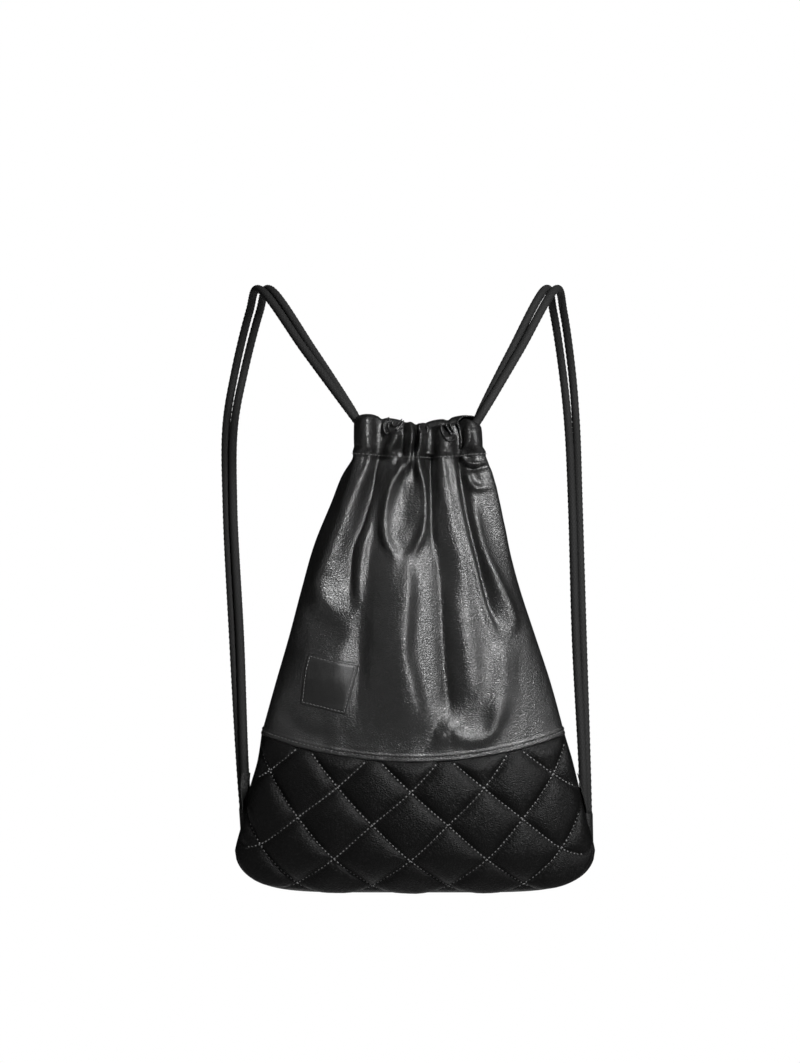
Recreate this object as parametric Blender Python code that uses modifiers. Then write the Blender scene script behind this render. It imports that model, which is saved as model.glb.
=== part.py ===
"""Drawstring bag with a quilted base, held in the shape it has on a wearer's back.

Two leather panels hang from a ruffled cord tunnel and stand on a padded, diamond-quilted pouch. Two
drawcords, each doubled, run from the lower corners round the arms and over the shoulders into the tunnel.

Lengths are metres. +Z is up, -Y is the bag's front and +X the right-hand side seen from the front. The
origin lies between the two places where the cords bear on the shoulders. The bag itself is modelled
about its own middle plane and its hem line, and hung in place by BAG_PLACE.
"""

import math
from collections import namedtuple

import bmesh
import bpy
from mathutils import Vector

# Overall sizes
BASE_WIDTH = 0.350
MOUTH_WIDTH = 0.121
MOUTH_SHIFT = 0.0024
MOUTH_DEPTH = 0.052
FRONT_DEPTH = 0.056
BACK_DEPTH = 0.040
UPPER_HEIGHT = 0.293
BASE_HEIGHT = 0.131
SEAM_SAG = 0.024
HEM_SAG = 0.004
CORNER_LIFT = 0.041
CORNER_POWER = 6

# Hang
HEM_DROP = 0.1655
STAND_OFF = 0.105
BAG_PLACE = Vector((0.0, -STAND_OFF, -HEM_DROP))

# Leather and padding
LEATHER = 0.0016
BASE_WALL = 0.0030
CLEARANCE = 0.0003
SEAM_GAP = 0.0008

# Cord tunnel
CASING_HEIGHT = 0.040
CASING_DIP = 0.007
TUNNEL_DEPTH = 0.017
HEM_THICKNESS = 0.0048
HEM_OPENS = 0.20
CASING_SWELL = 0.0016
SIDE_GAP = 0.026
RUFFLE_DEPTH = 0.0030
RUFFLES = 5

# Folds and gathers
FOLD_RISE = 0.0125
FOLD_REST = 0.62
FOLD_FADE = 0.30

# Quilting
DIAMOND_WIDTH = 0.0725
DIAMOND_HEIGHT = 0.067
QUILT_SHIFT = -0.0045
QUILT_PHASE = 0.0045
BASE_FABRIC = 0.146
PUFF = 0.0050
PUFF_SHARPNESS = 0.6
CORNER_COLUMNS = (0.014, 0.004)

# Patch
PATCH_WIDTH = 0.046
PATCH_HEIGHT = 0.050
PATCH_THICKNESS = 0.0013
PATCH_LIFT = 0.0008
PATCH_ACROSS = 0.235
PATCH_UP = 0.205
PATCH_TILT = math.radians(13)

# Corner tabs
TAB_WIDTH = 0.0090
TAB_THICKNESS = 0.0030
TAB_LENGTH = 0.052
TAB_SEAT = 0.60

# Cords
CORD_DIAMETER = 0.008
CORD_STEP = 0.030
CORD_TURN = math.radians(24)

# Mesh fineness
FRONT_COLUMNS = 44
FRONT_ROWS = 20
BACK_COLUMNS = 22
BACK_ROWS = 11
CASING_STATIONS = 34
PATCH_CELLS = 5
TAB_ROWS = 6

FRONT = -1
BACK = 1

Section = namedtuple("Section", "height left right front back power")
BaseSection = namedtuple("BaseSection", "height left right deep fall")
Fold = namedtuple("Fold", "start reach top middle foot width rise")
Wall = namedtuple("Wall", "height inward swell")
RunPoint = namedtuple("RunPoint", "x y z apart_x apart_y")
Oval = namedtuple("Oval", "left right front back power")

# Outline of the upper bag from the seam, height 0, to the hem, height 1. The sides are shares of the way
# from the mouth's half width to the base's, the depths shares of the way from the mouth's to the belly's.
UPPER_SECTIONS = (
    Section(height=0.00, left=0.777, right=0.734, front=0.81, back=0.87, power=2.0),
    Section(height=0.18, left=0.662, right=0.616, front=0.97, back=1.00, power=2.0),
    Section(height=0.35, left=0.549, right=0.482, front=1.00, back=1.00, power=2.0),
    Section(height=0.515, left=0.449, right=0.352, front=0.90, back=0.87, power=2.1),
    Section(height=0.68, left=0.341, right=0.243, front=0.68, back=0.67, power=2.3),
    Section(height=0.84, left=0.191, right=0.139, front=0.36, back=0.40, power=2.8),
    Section(height=0.93, left=0.108, right=0.070, front=0.15, back=0.20, power=3.4),
    Section(height=1.00, left=0.000, right=0.000, front=0.00, back=0.00, power=4.0),
)

# Outline of the quilted base from the seam, height 0, to the bottom fold, height 1: sides as above, depth
# as a share of the depth at the seam, and fall as a share of the base's drop.
BASE_SECTIONS = (
    BaseSection(height=0.00, left=0.777, right=0.734, deep=1.00, fall=0.00),
    BaseSection(height=0.20, left=0.811, right=0.803, deep=1.00, fall=0.23),
    BaseSection(height=0.43, left=0.880, right=0.866, deep=0.93, fall=0.48),
    BaseSection(height=0.66, left=0.935, right=0.930, deep=0.76, fall=0.74),
    BaseSection(height=0.885, left=0.985, right=0.985, deep=0.38, fall=0.93),
    BaseSection(height=1.00, left=1.000, right=1.000, deep=0.00, fall=1.00),
)

# Folds of the front: ridges rise and gullies fall. Start and reach are heights as above, the places are
# shares of the width at those heights, the width is a share of it too, and the rise one of FOLD_RISE.
FRONT_FOLDS = (
    Fold(start=1.0, reach=0.45, top=0.10, middle=0.12, foot=0.17, width=0.085, rise=0.75),
    Fold(start=0.95, reach=0.42, top=0.21, middle=0.20, foot=0.25, width=0.050, rise=-0.50),
    Fold(start=1.0, reach=0.60, top=0.31, middle=0.33, foot=0.46, width=0.055, rise=0.95),
    Fold(start=0.90, reach=0.03, top=0.24, middle=0.33, foot=0.33, width=0.060, rise=-0.35),
    Fold(start=1.0, reach=0.60, top=0.44, middle=0.44, foot=0.46, width=0.040, rise=0.55),
    Fold(start=1.0, reach=0.60, top=0.54, middle=0.59, foot=0.47, width=0.045, rise=0.85),
    Fold(start=0.72, reach=0.02, top=0.47, middle=0.47, foot=0.53, width=0.055, rise=0.60),
    Fold(start=0.95, reach=0.05, top=0.61, middle=0.64, foot=0.62, width=0.060, rise=-0.55),
    Fold(start=1.0, reach=0.36, top=0.72, middle=0.78, foot=0.85, width=0.065, rise=0.95),
    Fold(start=0.95, reach=0.40, top=0.83, middle=0.84, foot=0.865, width=0.030, rise=-0.35),
    Fold(start=1.0, reach=0.34, top=0.93, middle=0.89, foot=0.90, width=0.055, rise=0.85),
    Fold(start=0.45, reach=0.02, top=0.86, middle=0.81, foot=0.76, width=0.080, rise=0.50),
)

# Folds of the back, in the same terms.
BACK_FOLDS = (
    Fold(start=1.0, reach=0.30, top=0.15, middle=0.14, foot=0.18, width=0.070, rise=0.70),
    Fold(start=1.0, reach=0.20, top=0.34, middle=0.31, foot=0.30, width=0.070, rise=0.75),
    Fold(start=1.0, reach=0.45, top=0.49, middle=0.50, foot=0.52, width=0.105, rise=0.75),
    Fold(start=1.0, reach=0.15, top=0.68, middle=0.70, foot=0.68, width=0.070, rise=0.75),
    Fold(start=1.0, reach=0.35, top=0.86, middle=0.86, foot=0.84, width=0.070, rise=0.70),
)

# Corner tabs: side, lean towards the bag, set back at the head, and the way the head faces.
TABS = (
    ("left_tab", -1, 0.0030, 0.0070, 0.0),
    ("right_tab", 1, 0.0120, 0.0040, math.pi / 2),
)

# The tunnel's wall in section, from the hem up the outer side, over the top and down the inner side.
TUNNEL_WALL = (
    Wall(height=0.00, inward=0.00, swell=0.0),
    Wall(height=0.20, inward=0.00, swell=0.7),
    Wall(height=0.68, inward=0.00, swell=1.0),
    Wall(height=0.92, inward=0.12, swell=0.4),
    Wall(height=1.00, inward=0.45, swell=0.0),
    Wall(height=0.86, inward=0.92, swell=0.0),
    Wall(height=0.22, inward=1.00, swell=0.0),
    Wall(height=0.00, inward=1.00, swell=0.0),
)

# Cord routes, chosen by hand: the middle of the doubled cord from its tab up to the mouth, with the way
# from there to the outer of its two runs, and then the one line through the tunnel and back.
LEFT_RUN = (
    RunPoint(x=-0.1650, y=-0.0850, z=-0.533, apart_x=-0.0022, apart_y=0.0038),
    RunPoint(x=-0.1680, y=-0.0850, z=-0.472, apart_x=-0.0022, apart_y=0.0038),
    RunPoint(x=-0.1770, y=-0.0290, z=-0.347, apart_x=-0.0036, apart_y=0.0030),
    RunPoint(x=-0.1875, y=0.0440, z=-0.212, apart_x=-0.0036, apart_y=0.0030),
    RunPoint(x=-0.1895, y=0.0920, z=-0.128, apart_x=-0.0042, apart_y=0.0020),
    RunPoint(x=-0.1810, y=0.1050, z=-0.075, apart_x=-0.0048, apart_y=0.0008),
    RunPoint(x=-0.1640, y=0.0700, z=-0.015, apart_x=-0.0052, apart_y=0.0000),
    RunPoint(x=-0.1500, y=0.0000, z=0.004, apart_x=-0.0052, apart_y=0.0000),
    RunPoint(x=-0.1035, y=-0.0620, z=-0.0615, apart_x=-0.0040, apart_y=-0.0028),
    RunPoint(x=-0.0640, y=-0.1040, z=-0.119, apart_x=-0.0014, apart_y=-0.0046),
)
LEFT_LOOP = (
    (-0.0535, -0.1115, -0.1345),
    (-0.0460, -0.1195, -0.1412),
    (-0.0180, -0.1230, -0.1426),
    (-0.0095, -0.1262, -0.1439),
    (-0.0020, -0.1275, -0.1470),
    (0.0055, -0.1262, -0.1501),
    (0.0140, -0.1230, -0.1514),
    (0.0430, -0.1228, -0.1514),
    (0.0560, -0.1175, -0.1514),
    (0.0612, -0.1050, -0.1514),
    (0.0560, -0.0925, -0.1514),
    (0.0430, -0.0872, -0.1514),
    (0.0140, -0.0870, -0.1514),
    (0.0055, -0.0838, -0.1501),
    (-0.0020, -0.0825, -0.1470),
    (-0.0095, -0.0838, -0.1439),
    (-0.0180, -0.0870, -0.1426),
    (-0.0460, -0.0905, -0.1412),
    (-0.0535, -0.0985, -0.1345),
)
RIGHT_RUN = (
    RunPoint(x=0.1685, y=-0.0850, z=-0.538, apart_x=0.0022, apart_y=0.0038),
    RunPoint(x=0.1660, y=-0.0800, z=-0.472, apart_x=0.0022, apart_y=0.0038),
    RunPoint(x=0.1643, y=-0.0200, z=-0.347, apart_x=0.0036, apart_y=0.0030),
    RunPoint(x=0.1638, y=0.0440, z=-0.214, apart_x=0.0036, apart_y=0.0030),
    RunPoint(x=0.1630, y=0.0920, z=-0.130, apart_x=0.0042, apart_y=0.0020),
    RunPoint(x=0.1590, y=0.1050, z=-0.077, apart_x=0.0048, apart_y=0.0008),
    RunPoint(x=0.1480, y=0.0700, z=-0.015, apart_x=0.0052, apart_y=0.0000),
    RunPoint(x=0.1362, y=0.0000, z=0.004, apart_x=0.0052, apart_y=0.0000),
    RunPoint(x=0.0985, y=-0.0620, z=-0.0620, apart_x=0.0040, apart_y=-0.0028),
    RunPoint(x=0.0665, y=-0.1040, z=-0.120, apart_x=0.0014, apart_y=-0.0046),
)
RIGHT_LOOP = (
    (0.0585, -0.1115, -0.1345),
    (0.0515, -0.1195, -0.1412),
    (0.0140, -0.1230, -0.1426),
    (0.0055, -0.1198, -0.1439),
    (-0.0020, -0.1185, -0.1470),
    (-0.0095, -0.1198, -0.1501),
    (-0.0180, -0.1230, -0.1514),
    (-0.0360, -0.1228, -0.1514),
    (-0.0490, -0.1175, -0.1514),
    (-0.0540, -0.1050, -0.1514),
    (-0.0490, -0.0925, -0.1514),
    (-0.0360, -0.0872, -0.1514),
    (-0.0180, -0.0870, -0.1514),
    (-0.0095, -0.0902, -0.1501),
    (-0.0020, -0.0915, -0.1470),
    (0.0055, -0.0902, -0.1439),
    (0.0140, -0.0870, -0.1426),
    (0.0515, -0.0905, -0.1412),
    (0.0585, -0.0985, -0.1345),
)


def remove_scene_objects():
    """Empties the scene that the script is run in."""
    for item in list(bpy.data.objects):
        bpy.data.objects.remove(item, do_unlink=True)


def mix(low, high, share):
    """Goes a share of the way from one value to another."""
    return low + (high - low) * share


def ease(share):
    """Turns 0 to 1 into a soft step, flat at both ends."""
    held = min(max(share, 0.0), 1.0)
    return held * held * (3.0 - 2.0 * held)


def read_table(rows, column, height):
    """Reads one column of a table of sections at a height, on a smooth curve through its rows."""
    heights = [row.height for row in rows]
    values = [getattr(row, column) for row in rows]
    last = len(rows) - 1
    height = min(max(height, heights[0]), heights[last])
    index = max(place for place in range(last) if heights[place] <= height)

    def slope(place):
        before, after = max(place - 1, 0), min(place + 1, last)
        return (values[after] - values[before]) / (heights[after] - heights[before])

    span = heights[index + 1] - heights[index]
    along = (height - heights[index]) / span
    start, end = values[index], values[index + 1]
    rise_start, rise_end = slope(index) * span, slope(index + 1) * span
    squared, cubed = along ** 2, along ** 3
    return (
        start * (2 * cubed - 3 * squared + 1)
        + rise_start * (cubed - 2 * squared + along)
        + end * (3 * squared - 2 * cubed)
        + rise_end * (cubed - squared)
    )


def half_widths(left_spread, right_spread):
    """Gives the left and right half widths for two shares of the way from the mouth to the base."""
    left_mouth = MOUTH_WIDTH / 2 - MOUTH_SHIFT
    right_mouth = MOUTH_WIDTH / 2 + MOUTH_SHIFT
    return mix(left_mouth, BASE_WIDTH / 2, left_spread), mix(right_mouth, BASE_WIDTH / 2, right_spread)


def upper_oval(height):
    """Gives the plan outline of the upper bag at a height share, 0 at the seam and 1 at the hem."""
    left, right = half_widths(
        read_table(UPPER_SECTIONS, "left", height), read_table(UPPER_SECTIONS, "right", height)
    )
    front = mix(MOUTH_DEPTH / 2, FRONT_DEPTH, read_table(UPPER_SECTIONS, "front", height))
    back = mix(MOUTH_DEPTH / 2, BACK_DEPTH, read_table(UPPER_SECTIONS, "back", height))
    return Oval(left, right, front, back, read_table(UPPER_SECTIONS, "power", height))


def base_oval(height, inset=0.0):
    """Gives the plan outline of the base at a height share, 0 at the seam and 1 at the bottom fold."""
    left, right = half_widths(
        read_table(BASE_SECTIONS, "left", height), read_table(BASE_SECTIONS, "right", height)
    )
    seam = upper_oval(0.0)
    deep = max(read_table(BASE_SECTIONS, "deep", height), 0.0)
    front, back = (max(depth * deep - inset, 0.0) for depth in (seam.front, seam.back))
    return Oval(left - inset, right - inset, front, back, seam.power)


def oval_point(oval, turn, face):
    """Gives a place on an oval and its outward direction, for a turn of 0 at the left to 1 at the right."""
    half, middle = (oval.left + oval.right) / 2, (oval.right - oval.left) / 2
    depth = oval.front if face == FRONT else oval.back
    across, deep = -math.cos(math.pi * turn), max(math.sin(math.pi * turn), 0.0)
    shape = 2 / oval.power
    x = middle + half * math.copysign(abs(across) ** shape, across)
    y = face * depth * deep ** shape
    outward = Vector((
        depth * math.copysign(abs(across) ** (2 - shape), across),
        half * face * deep ** (2 - shape),
        0.0,
    ))
    if outward.length == 0.0:
        outward = Vector((0.0, face, 0.0))
    return Vector((x, y, 0.0)), outward.normalized()


def across_share(oval, x):
    """Says how far across an oval a place lies, 0 at the left side and 1 at the right."""
    return (x + oval.left) / (oval.left + oval.right)


def seam_z(across):
    """Gives the height of the seam between the upper bag and the base."""
    return -UPPER_HEIGHT + SEAM_SAG * (2 * across - 1) ** 2


def hem_z(across):
    """Gives the height of the hem line under the cord tunnel."""
    return HEM_SAG * ((2 * across - 1) ** 2 - 1)


def bottom_z(across):
    """Gives the height of the bottom fold, which rounds up into the corners."""
    level = math.sqrt(max(1 - (2 * across - 1) ** CORNER_POWER, 0.0))
    return -UPPER_HEIGHT - BASE_HEIGHT + CORNER_LIFT * (1 - level)


def fold_rise(folds, across, height):
    """Adds up how far the folds lift the leather off its plain outline at one place."""
    gather = mix(FOLD_REST, 1.0, ease(2 * height - 1))
    total = 0.0
    for fold in folds:
        fallen = (fold.start - height) / (fold.start - fold.reach)
        if fold.start < 1.0 and fallen < 0.0:
            continue
        fallen = min(max(fallen, 0.0), 1.0)
        place = (
            fold.top * (1 - fallen) * (1 - 2 * fallen)
            + 4 * fold.middle * fallen * (1 - fallen)
            + fold.foot * fallen * (2 * fallen - 1)
        )
        strength = ease((1 - fallen) / FOLD_FADE)
        if fold.start < 1.0:
            strength *= ease(fallen / FOLD_FADE)
        total += strength * fold.rise * math.exp(-(((across - place) / fold.width) ** 2))
    return FOLD_RISE * gather * total


def side_fade(turn):
    """Fades folds out towards the side seams."""
    return ease(math.sin(math.pi * turn) / 0.45)


def upper_point(turn, height, face, lift=0.0):
    """Gives a place on the outside of the upper bag, folds included, and its outward direction."""
    oval = upper_oval(height)
    place, outward = oval_point(oval, turn, face)
    across = across_share(oval, place.x)
    folds = FRONT_FOLDS if face == FRONT else BACK_FOLDS
    place += outward * (fold_rise(folds, across, height) * side_fade(turn) + lift)
    place.z = mix(seam_z(across), hem_z(across), height)
    return place, outward


def new_object(name, mesh, material, collection, holder, place):
    """Puts a mesh or curve in the scene under its node name."""
    item = bpy.data.objects.new(name, mesh)
    collection.objects.link(item)
    item.parent = holder
    item.location = place
    item.data.materials.append(material)
    return item


def new_material(name, colour, roughness):
    """Makes a plain finish."""
    material = bpy.data.materials.new(name)
    material.use_nodes = True
    surface = material.node_tree.nodes["Principled BSDF"]
    surface.inputs["Base Color"].default_value = (*colour, 1.0)
    surface.inputs["Roughness"].default_value = roughness
    surface.inputs["Metallic"].default_value = 0.0
    return material


def grid_faces(mesh, rows, closed=False):
    """Joins rows of vertices into a sheet of quads, or into a tube where each row is a closed loop."""
    for low, high in zip(rows, rows[1:]):
        count = len(low)
        for index in range(count if closed else count - 1):
            after = (index + 1) % count
            mesh.faces.new((low[index], low[after], high[after], high[index]))


def finish_mesh(mesh, name):
    """Turns a bmesh into a smooth-shaded mesh."""
    data = bpy.data.meshes.new(name)
    mesh.to_mesh(data)
    mesh.free()
    data.shade_smooth()
    return data


def thicken(item, thickness, offset):
    """Gives an open sheet its wall; offset -1 grows it inwards, 1 outwards and 0 both ways."""
    wall = item.modifiers.new("wall", "SOLIDIFY")
    wall.thickness = thickness
    wall.offset = offset
    wall.use_even_offset = True
    wall.use_quality_normals = True


def panel_mesh(name, face, columns, rows):
    """Models the outside of the front or back upper panel, from the seam up to the hem."""
    mesh = bmesh.new()
    levels = []
    for row in range(rows + 1):
        height = row / rows
        level = []
        for column in range(columns + 1):
            place, _ = upper_point(column / columns, height, face)
            place.y += face * SEAM_GAP / 2
            if row == 0:
                place.z += SEAM_GAP / 2
            if row == rows:
                place.z -= CLEARANCE / 2
            level.append(mesh.verts.new(place))
        levels.append(level)
    grid_faces(mesh, levels)
    if face == BACK:
        bmesh.ops.reverse_faces(mesh, faces=mesh.faces)
    return finish_mesh(mesh, name)


def casing_turn_at_gap(oval, depth):
    """Finds the turn at which a tunnel half stops, where the side gap for the cords begins."""
    deep = (SIDE_GAP / 2 / depth) ** (oval.power / 2)
    return math.asin(deep) / math.pi


def casing_mesh(name, face):
    """Models the outside of one half of the cord tunnel: a ruffled loop of wall led round the mouth."""
    oval = upper_oval(1.0)
    depth = oval.front if face == FRONT else oval.back
    first = casing_turn_at_gap(oval, depth)
    mesh = bmesh.new()
    loops = []
    for station in range(CASING_STATIONS + 1):
        turn = mix(first, 1 - first, station / CASING_STATIONS)
        plain, outward = oval_point(oval, turn, face)
        outer, _ = upper_point(turn, 1.0, face)
        across = across_share(oval, plain.x)
        ruffle = RUFFLE_DEPTH * (0.5 + 0.5 * math.cos(2 * math.pi * RUFFLES * (across - 0.5)))
        full = (outer - plain).to_2d().length + TUNNEL_DEPTH + ruffle * side_fade(turn)
        foot = hem_z(across) + CLEARANCE / 2
        top = CASING_HEIGHT - CASING_DIP * (1 - (2 * across - 1) ** 2)
        loop = []
        for wall in TUNNEL_WALL:
            opened = mix(HEM_THICKNESS, full, ease(wall.height / HEM_OPENS))
            shift = CASING_SWELL * wall.swell - wall.inward * opened
            place = outer + outward * shift
            place.z = mix(foot, top, wall.height)
            loop.append(mesh.verts.new(place))
        loops.append(loop)
    grid_faces(mesh, loops, closed=True)
    if face == BACK:
        bmesh.ops.reverse_faces(mesh, faces=mesh.faces)
    bmesh.ops.reverse_faces(mesh, faces=mesh.faces)
    return finish_mesh(mesh, name)


def turns_for_lengths(oval, face, shares, samples=96):
    """Finds the turns that lie at given shares of the length along one side of an oval."""
    places = [oval_point(oval, step / samples, face)[0] for step in range(samples + 1)]
    lengths = [0.0]
    for before, after in zip(places, places[1:]):
        lengths.append(lengths[-1] + (after - before).length)
    turns = []
    for share in shares:
        wanted = share * lengths[-1]
        index = min(sum(1 for length in lengths[1:] if length < wanted), samples - 1)
        along = (wanted - lengths[index]) / (lengths[index + 1] - lengths[index])
        turns.append((index + along) / samples)
    return turns


def puff_rise(along, down):
    """Gives the height of the quilted padding; stitch lines cross half way between the seam's crossings."""
    across_cell = (along - QUILT_SHIFT) / DIAMOND_WIDTH + 0.5
    down_cell = (down + QUILT_PHASE) / DIAMOND_HEIGHT
    rising = (across_cell + down_cell) % 1.0
    falling = (across_cell - down_cell) % 1.0
    return PUFF * max(math.sin(math.pi * rising) * math.sin(math.pi * falling), 0.0) ** PUFF_SHARPNESS


def quilt_columns():
    """Lists places across the quilting, from its middle: a quarter diamond apart, closer at the corners."""
    quarter = DIAMOND_WIDTH / 4
    half = BASE_WIDTH / 2
    count = int((half - abs(QUILT_SHIFT)) / quarter - 0.5)
    inner = [QUILT_SHIFT + quarter * step for step in range(-count, count + 1)]
    corner = [half - step for step in CORNER_COLUMNS]
    return [-half, *(-place for place in reversed(corner)), *inner, *corner, half]


def quilt_rows():
    """Lists places down the quilting, a quarter diamond apart, as lengths from the seam."""
    quarter = DIAMOND_HEIGHT / 4
    count = int((BASE_FABRIC + QUILT_PHASE) / quarter - 0.3)
    inner = [quarter * step - QUILT_PHASE for step in range(1, count + 1)]
    return [0.0, *inner, BASE_FABRIC]


def base_level(mesh, columns, down, face, inset, puffed):
    """Adds one row of the base's outer or inner skin at a length down from the seam."""
    height = down / BASE_FABRIC
    oval = base_oval(height, inset)
    shares = [(column + BASE_WIDTH / 2) / BASE_WIDTH for column in columns]
    level = []
    for column, turn in zip(columns, turns_for_lengths(oval, face, shares)):
        place, outward = oval_point(oval, turn, face)
        across = across_share(oval, place.x)
        if puffed:
            edge = ease(down / QUILT_PHASE) * ease((BASE_FABRIC - down) / QUILT_PHASE)
            place += outward * puff_rise(column, down) * edge * side_fade(turn)
        floor = bottom_z(across) + inset * 1.6
        place.z = mix(seam_z(across) - SEAM_GAP / 2, floor, read_table(BASE_SECTIONS, "fall", height))
        level.append(mesh.verts.new(place))
    return level


def base_mesh(name):
    """Models the quilted pouch: a puffed outer skin and a plain inner one, joined round the rim."""
    columns, rows = quilt_columns(), quilt_rows()
    inner_rows = [*rows[:-2:2], rows[-2], rows[-1]]
    mesh = bmesh.new()
    rims = []
    for face in (FRONT, BACK):
        for inset, levels_down in ((0.0, rows), (BASE_WALL, inner_rows)):
            levels = [base_level(mesh, columns, down, face, inset, inset == 0.0) for down in levels_down]
            grid_faces(mesh, levels)
            rims.append(levels[0])
    for outer, inner in (rims[0:2], rims[2:4]):
        grid_faces(mesh, [outer, inner])
    bmesh.ops.remove_doubles(mesh, verts=mesh.verts, dist=CLEARANCE / 10)
    bmesh.ops.recalc_face_normals(mesh, faces=mesh.faces)
    return finish_mesh(mesh, name)


def patch_mesh(name):
    """Models the underside of the patch, lying on the front panel."""
    mesh = bmesh.new()
    levels = []
    middle, _ = upper_point(0.5, PATCH_UP, FRONT)
    oval = upper_oval(PATCH_UP)
    middle.x = mix(-oval.left, oval.right, PATCH_ACROSS)
    for row in range(PATCH_CELLS + 1):
        level = []
        for column in range(PATCH_CELLS + 1):
            aside = PATCH_WIDTH * (column / PATCH_CELLS - 0.5)
            above = PATCH_HEIGHT * (row / PATCH_CELLS - 0.5)
            x = middle.x + aside * math.cos(PATCH_TILT) + above * math.sin(PATCH_TILT)
            rise = above * math.cos(PATCH_TILT) - aside * math.sin(PATCH_TILT)
            height = PATCH_UP + rise / UPPER_HEIGHT
            across = across_share(upper_oval(height), x)
            turn = math.acos(1 - 2 * across) / math.pi
            place, _ = upper_point(turn, height, FRONT, lift=PATCH_LIFT)
            level.append(mesh.verts.new(place))
        levels.append(level)
    grid_faces(mesh, levels)
    return finish_mesh(mesh, name)


def tab_mesh(name, side, lean, behind, facing):
    """Models the middle sheet of a corner tab: a strip that rises, and may twist, from the side seam."""
    oval = base_oval(TAB_SEAT)
    edge = side * (oval.right if side > 0 else oval.left)
    across = across_share(oval, edge)
    seat = mix(seam_z(across), bottom_z(across), read_table(BASE_SECTIONS, "fall", TAB_SEAT))
    foot = Vector((edge + side * (TAB_THICKNESS / 2 + CLEARANCE), 0.0, seat))
    head = foot + Vector((-side * lean, behind, TAB_LENGTH))
    mesh = bmesh.new()
    levels = []
    for row in range(TAB_ROWS + 1):
        share = row / TAB_ROWS
        twist = mix(math.pi / 2, facing, ease(share))
        reach = Vector((math.cos(twist), math.sin(twist), 0.0)) * TAB_WIDTH / 2
        centre = foot.lerp(head, share)
        levels.append([mesh.verts.new(centre - reach), mesh.verts.new(centre + reach)])
    grid_faces(mesh, levels)
    return finish_mesh(mesh, name)


def smooth_route(points, steps=24):
    """Reads a fine line from a smooth curve that passes through a cord's route points."""
    ends = [2 * points[0] - points[1], *points, 2 * points[-1] - points[-2]]
    line = []
    for first, second, third, fourth in zip(ends, ends[1:], ends[2:], ends[3:]):
        knots = [0.0]
        for before, after in ((first, second), (second, third), (third, fourth)):
            knots.append(knots[-1] + math.sqrt((after - before).length))
        for step in range(steps):
            at = mix(knots[1], knots[2], step / steps)
            line.append(curve_point((first, second, third, fourth), knots, at))
    line.append(points[-1].copy())
    return line


def curve_point(corners, knots, at):
    """Gives one place on the smooth curve between the two middle corners of four."""
    layer = list(corners)
    for reach in (1, 2):
        layer = [
            before.lerp(after, (at - knots[index]) / (knots[index + reach] - knots[index]))
            for index, (before, after) in enumerate(zip(layer, layer[1:]))
        ]
    return layer[0].lerp(layer[1], (at - knots[1]) / (knots[2] - knots[1]))


def thin_out(line):
    """Keeps the places of a fine line that a faceted tube needs: near bends often, on straights seldom."""
    kept = [line[0]]
    travelled, turned = 0.0, 0.0
    for before, here, after in zip(line, line[1:], line[2:]):
        travelled += (here - before).length
        turned += (here - before).angle(after - here, 0.0)
        if travelled >= CORD_STEP or turned >= CORD_TURN:
            kept.append(here)
            travelled, turned = 0.0, 0.0
    kept.append(line[-1])
    return kept


def cord_route(run, loop):
    """Lists a doubled cord's route: up the outer run, through the tunnel and down the inner run."""
    outer = [Vector((row.x + row.apart_x, row.y + row.apart_y, row.z)) for row in run]
    inner = [Vector((row.x - row.apart_x, row.y - row.apart_y, row.z)) for row in run]
    return [*outer, *(Vector(point) for point in loop), *reversed(inner)]


def cord_curve(name, run, loop):
    """Makes a cord as a round tube along its route."""
    curve = bpy.data.curves.new(name, "CURVE")
    curve.dimensions = "3D"
    curve.bevel_depth = CORD_DIAMETER / 2
    curve.bevel_resolution = 2
    curve.use_fill_caps = True
    places = thin_out(smooth_route(cord_route(run, loop)))
    spline = curve.splines.new("POLY")
    spline.points.add(len(places) - 1)
    for point, place in zip(spline.points, places):
        point.co = (*place, 1.0)
    return curve


def build():
    """Builds every piece of the bag."""
    remove_scene_objects()
    collection = bpy.data.collections.new("quilted_drawstring_bag")
    bpy.context.scene.collection.children.link(collection)
    holder = bpy.data.objects.new("shoulder_line", None)
    collection.objects.link(holder)

    panels = (
        ("front_panel", FRONT, FRONT_COLUMNS, FRONT_ROWS),
        ("back_panel", BACK, BACK_COLUMNS, BACK_ROWS),
    )
    for name, face, columns, rows in panels:
        leather = new_material(name, (0.016, 0.016, 0.017), 0.42)
        panel = new_object(
            name, panel_mesh(name, face, columns, rows), leather, collection, holder, BAG_PLACE
        )
        thicken(panel, LEATHER, -1)

    for name, face in (("front_casing", FRONT), ("back_casing", BACK)):
        leather = new_material(name, (0.018, 0.018, 0.019), 0.42)
        casing = new_object(name, casing_mesh(name, face), leather, collection, holder, BAG_PLACE)
        thicken(casing, LEATHER, -1)

    quilting = new_material("quilted_base", (0.014, 0.014, 0.015), 0.45)
    new_object("quilted_base", base_mesh("quilted_base"), quilting, collection, holder, BAG_PLACE)

    label = new_material("patch", (0.020, 0.020, 0.021), 0.50)
    patch = new_object("patch", patch_mesh("patch"), label, collection, holder, BAG_PLACE)
    thicken(patch, PATCH_THICKNESS, 1)

    for name, side, lean, behind, facing in TABS:
        strip = new_material(name, (0.012, 0.012, 0.013), 0.48)
        sheet = tab_mesh(name, side, lean, behind, facing)
        tab = new_object(name, sheet, strip, collection, holder, BAG_PLACE)
        thicken(tab, TAB_THICKNESS, 0)

    cords = (("left_cord", LEFT_RUN, LEFT_LOOP), ("right_cord", RIGHT_RUN, RIGHT_LOOP))
    for name, run, loop in cords:
        braid = new_material(name, (0.030, 0.030, 0.032), 0.85)
        new_object(name, cord_curve(name, run, loop), braid, collection, holder, Vector())


build()
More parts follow.
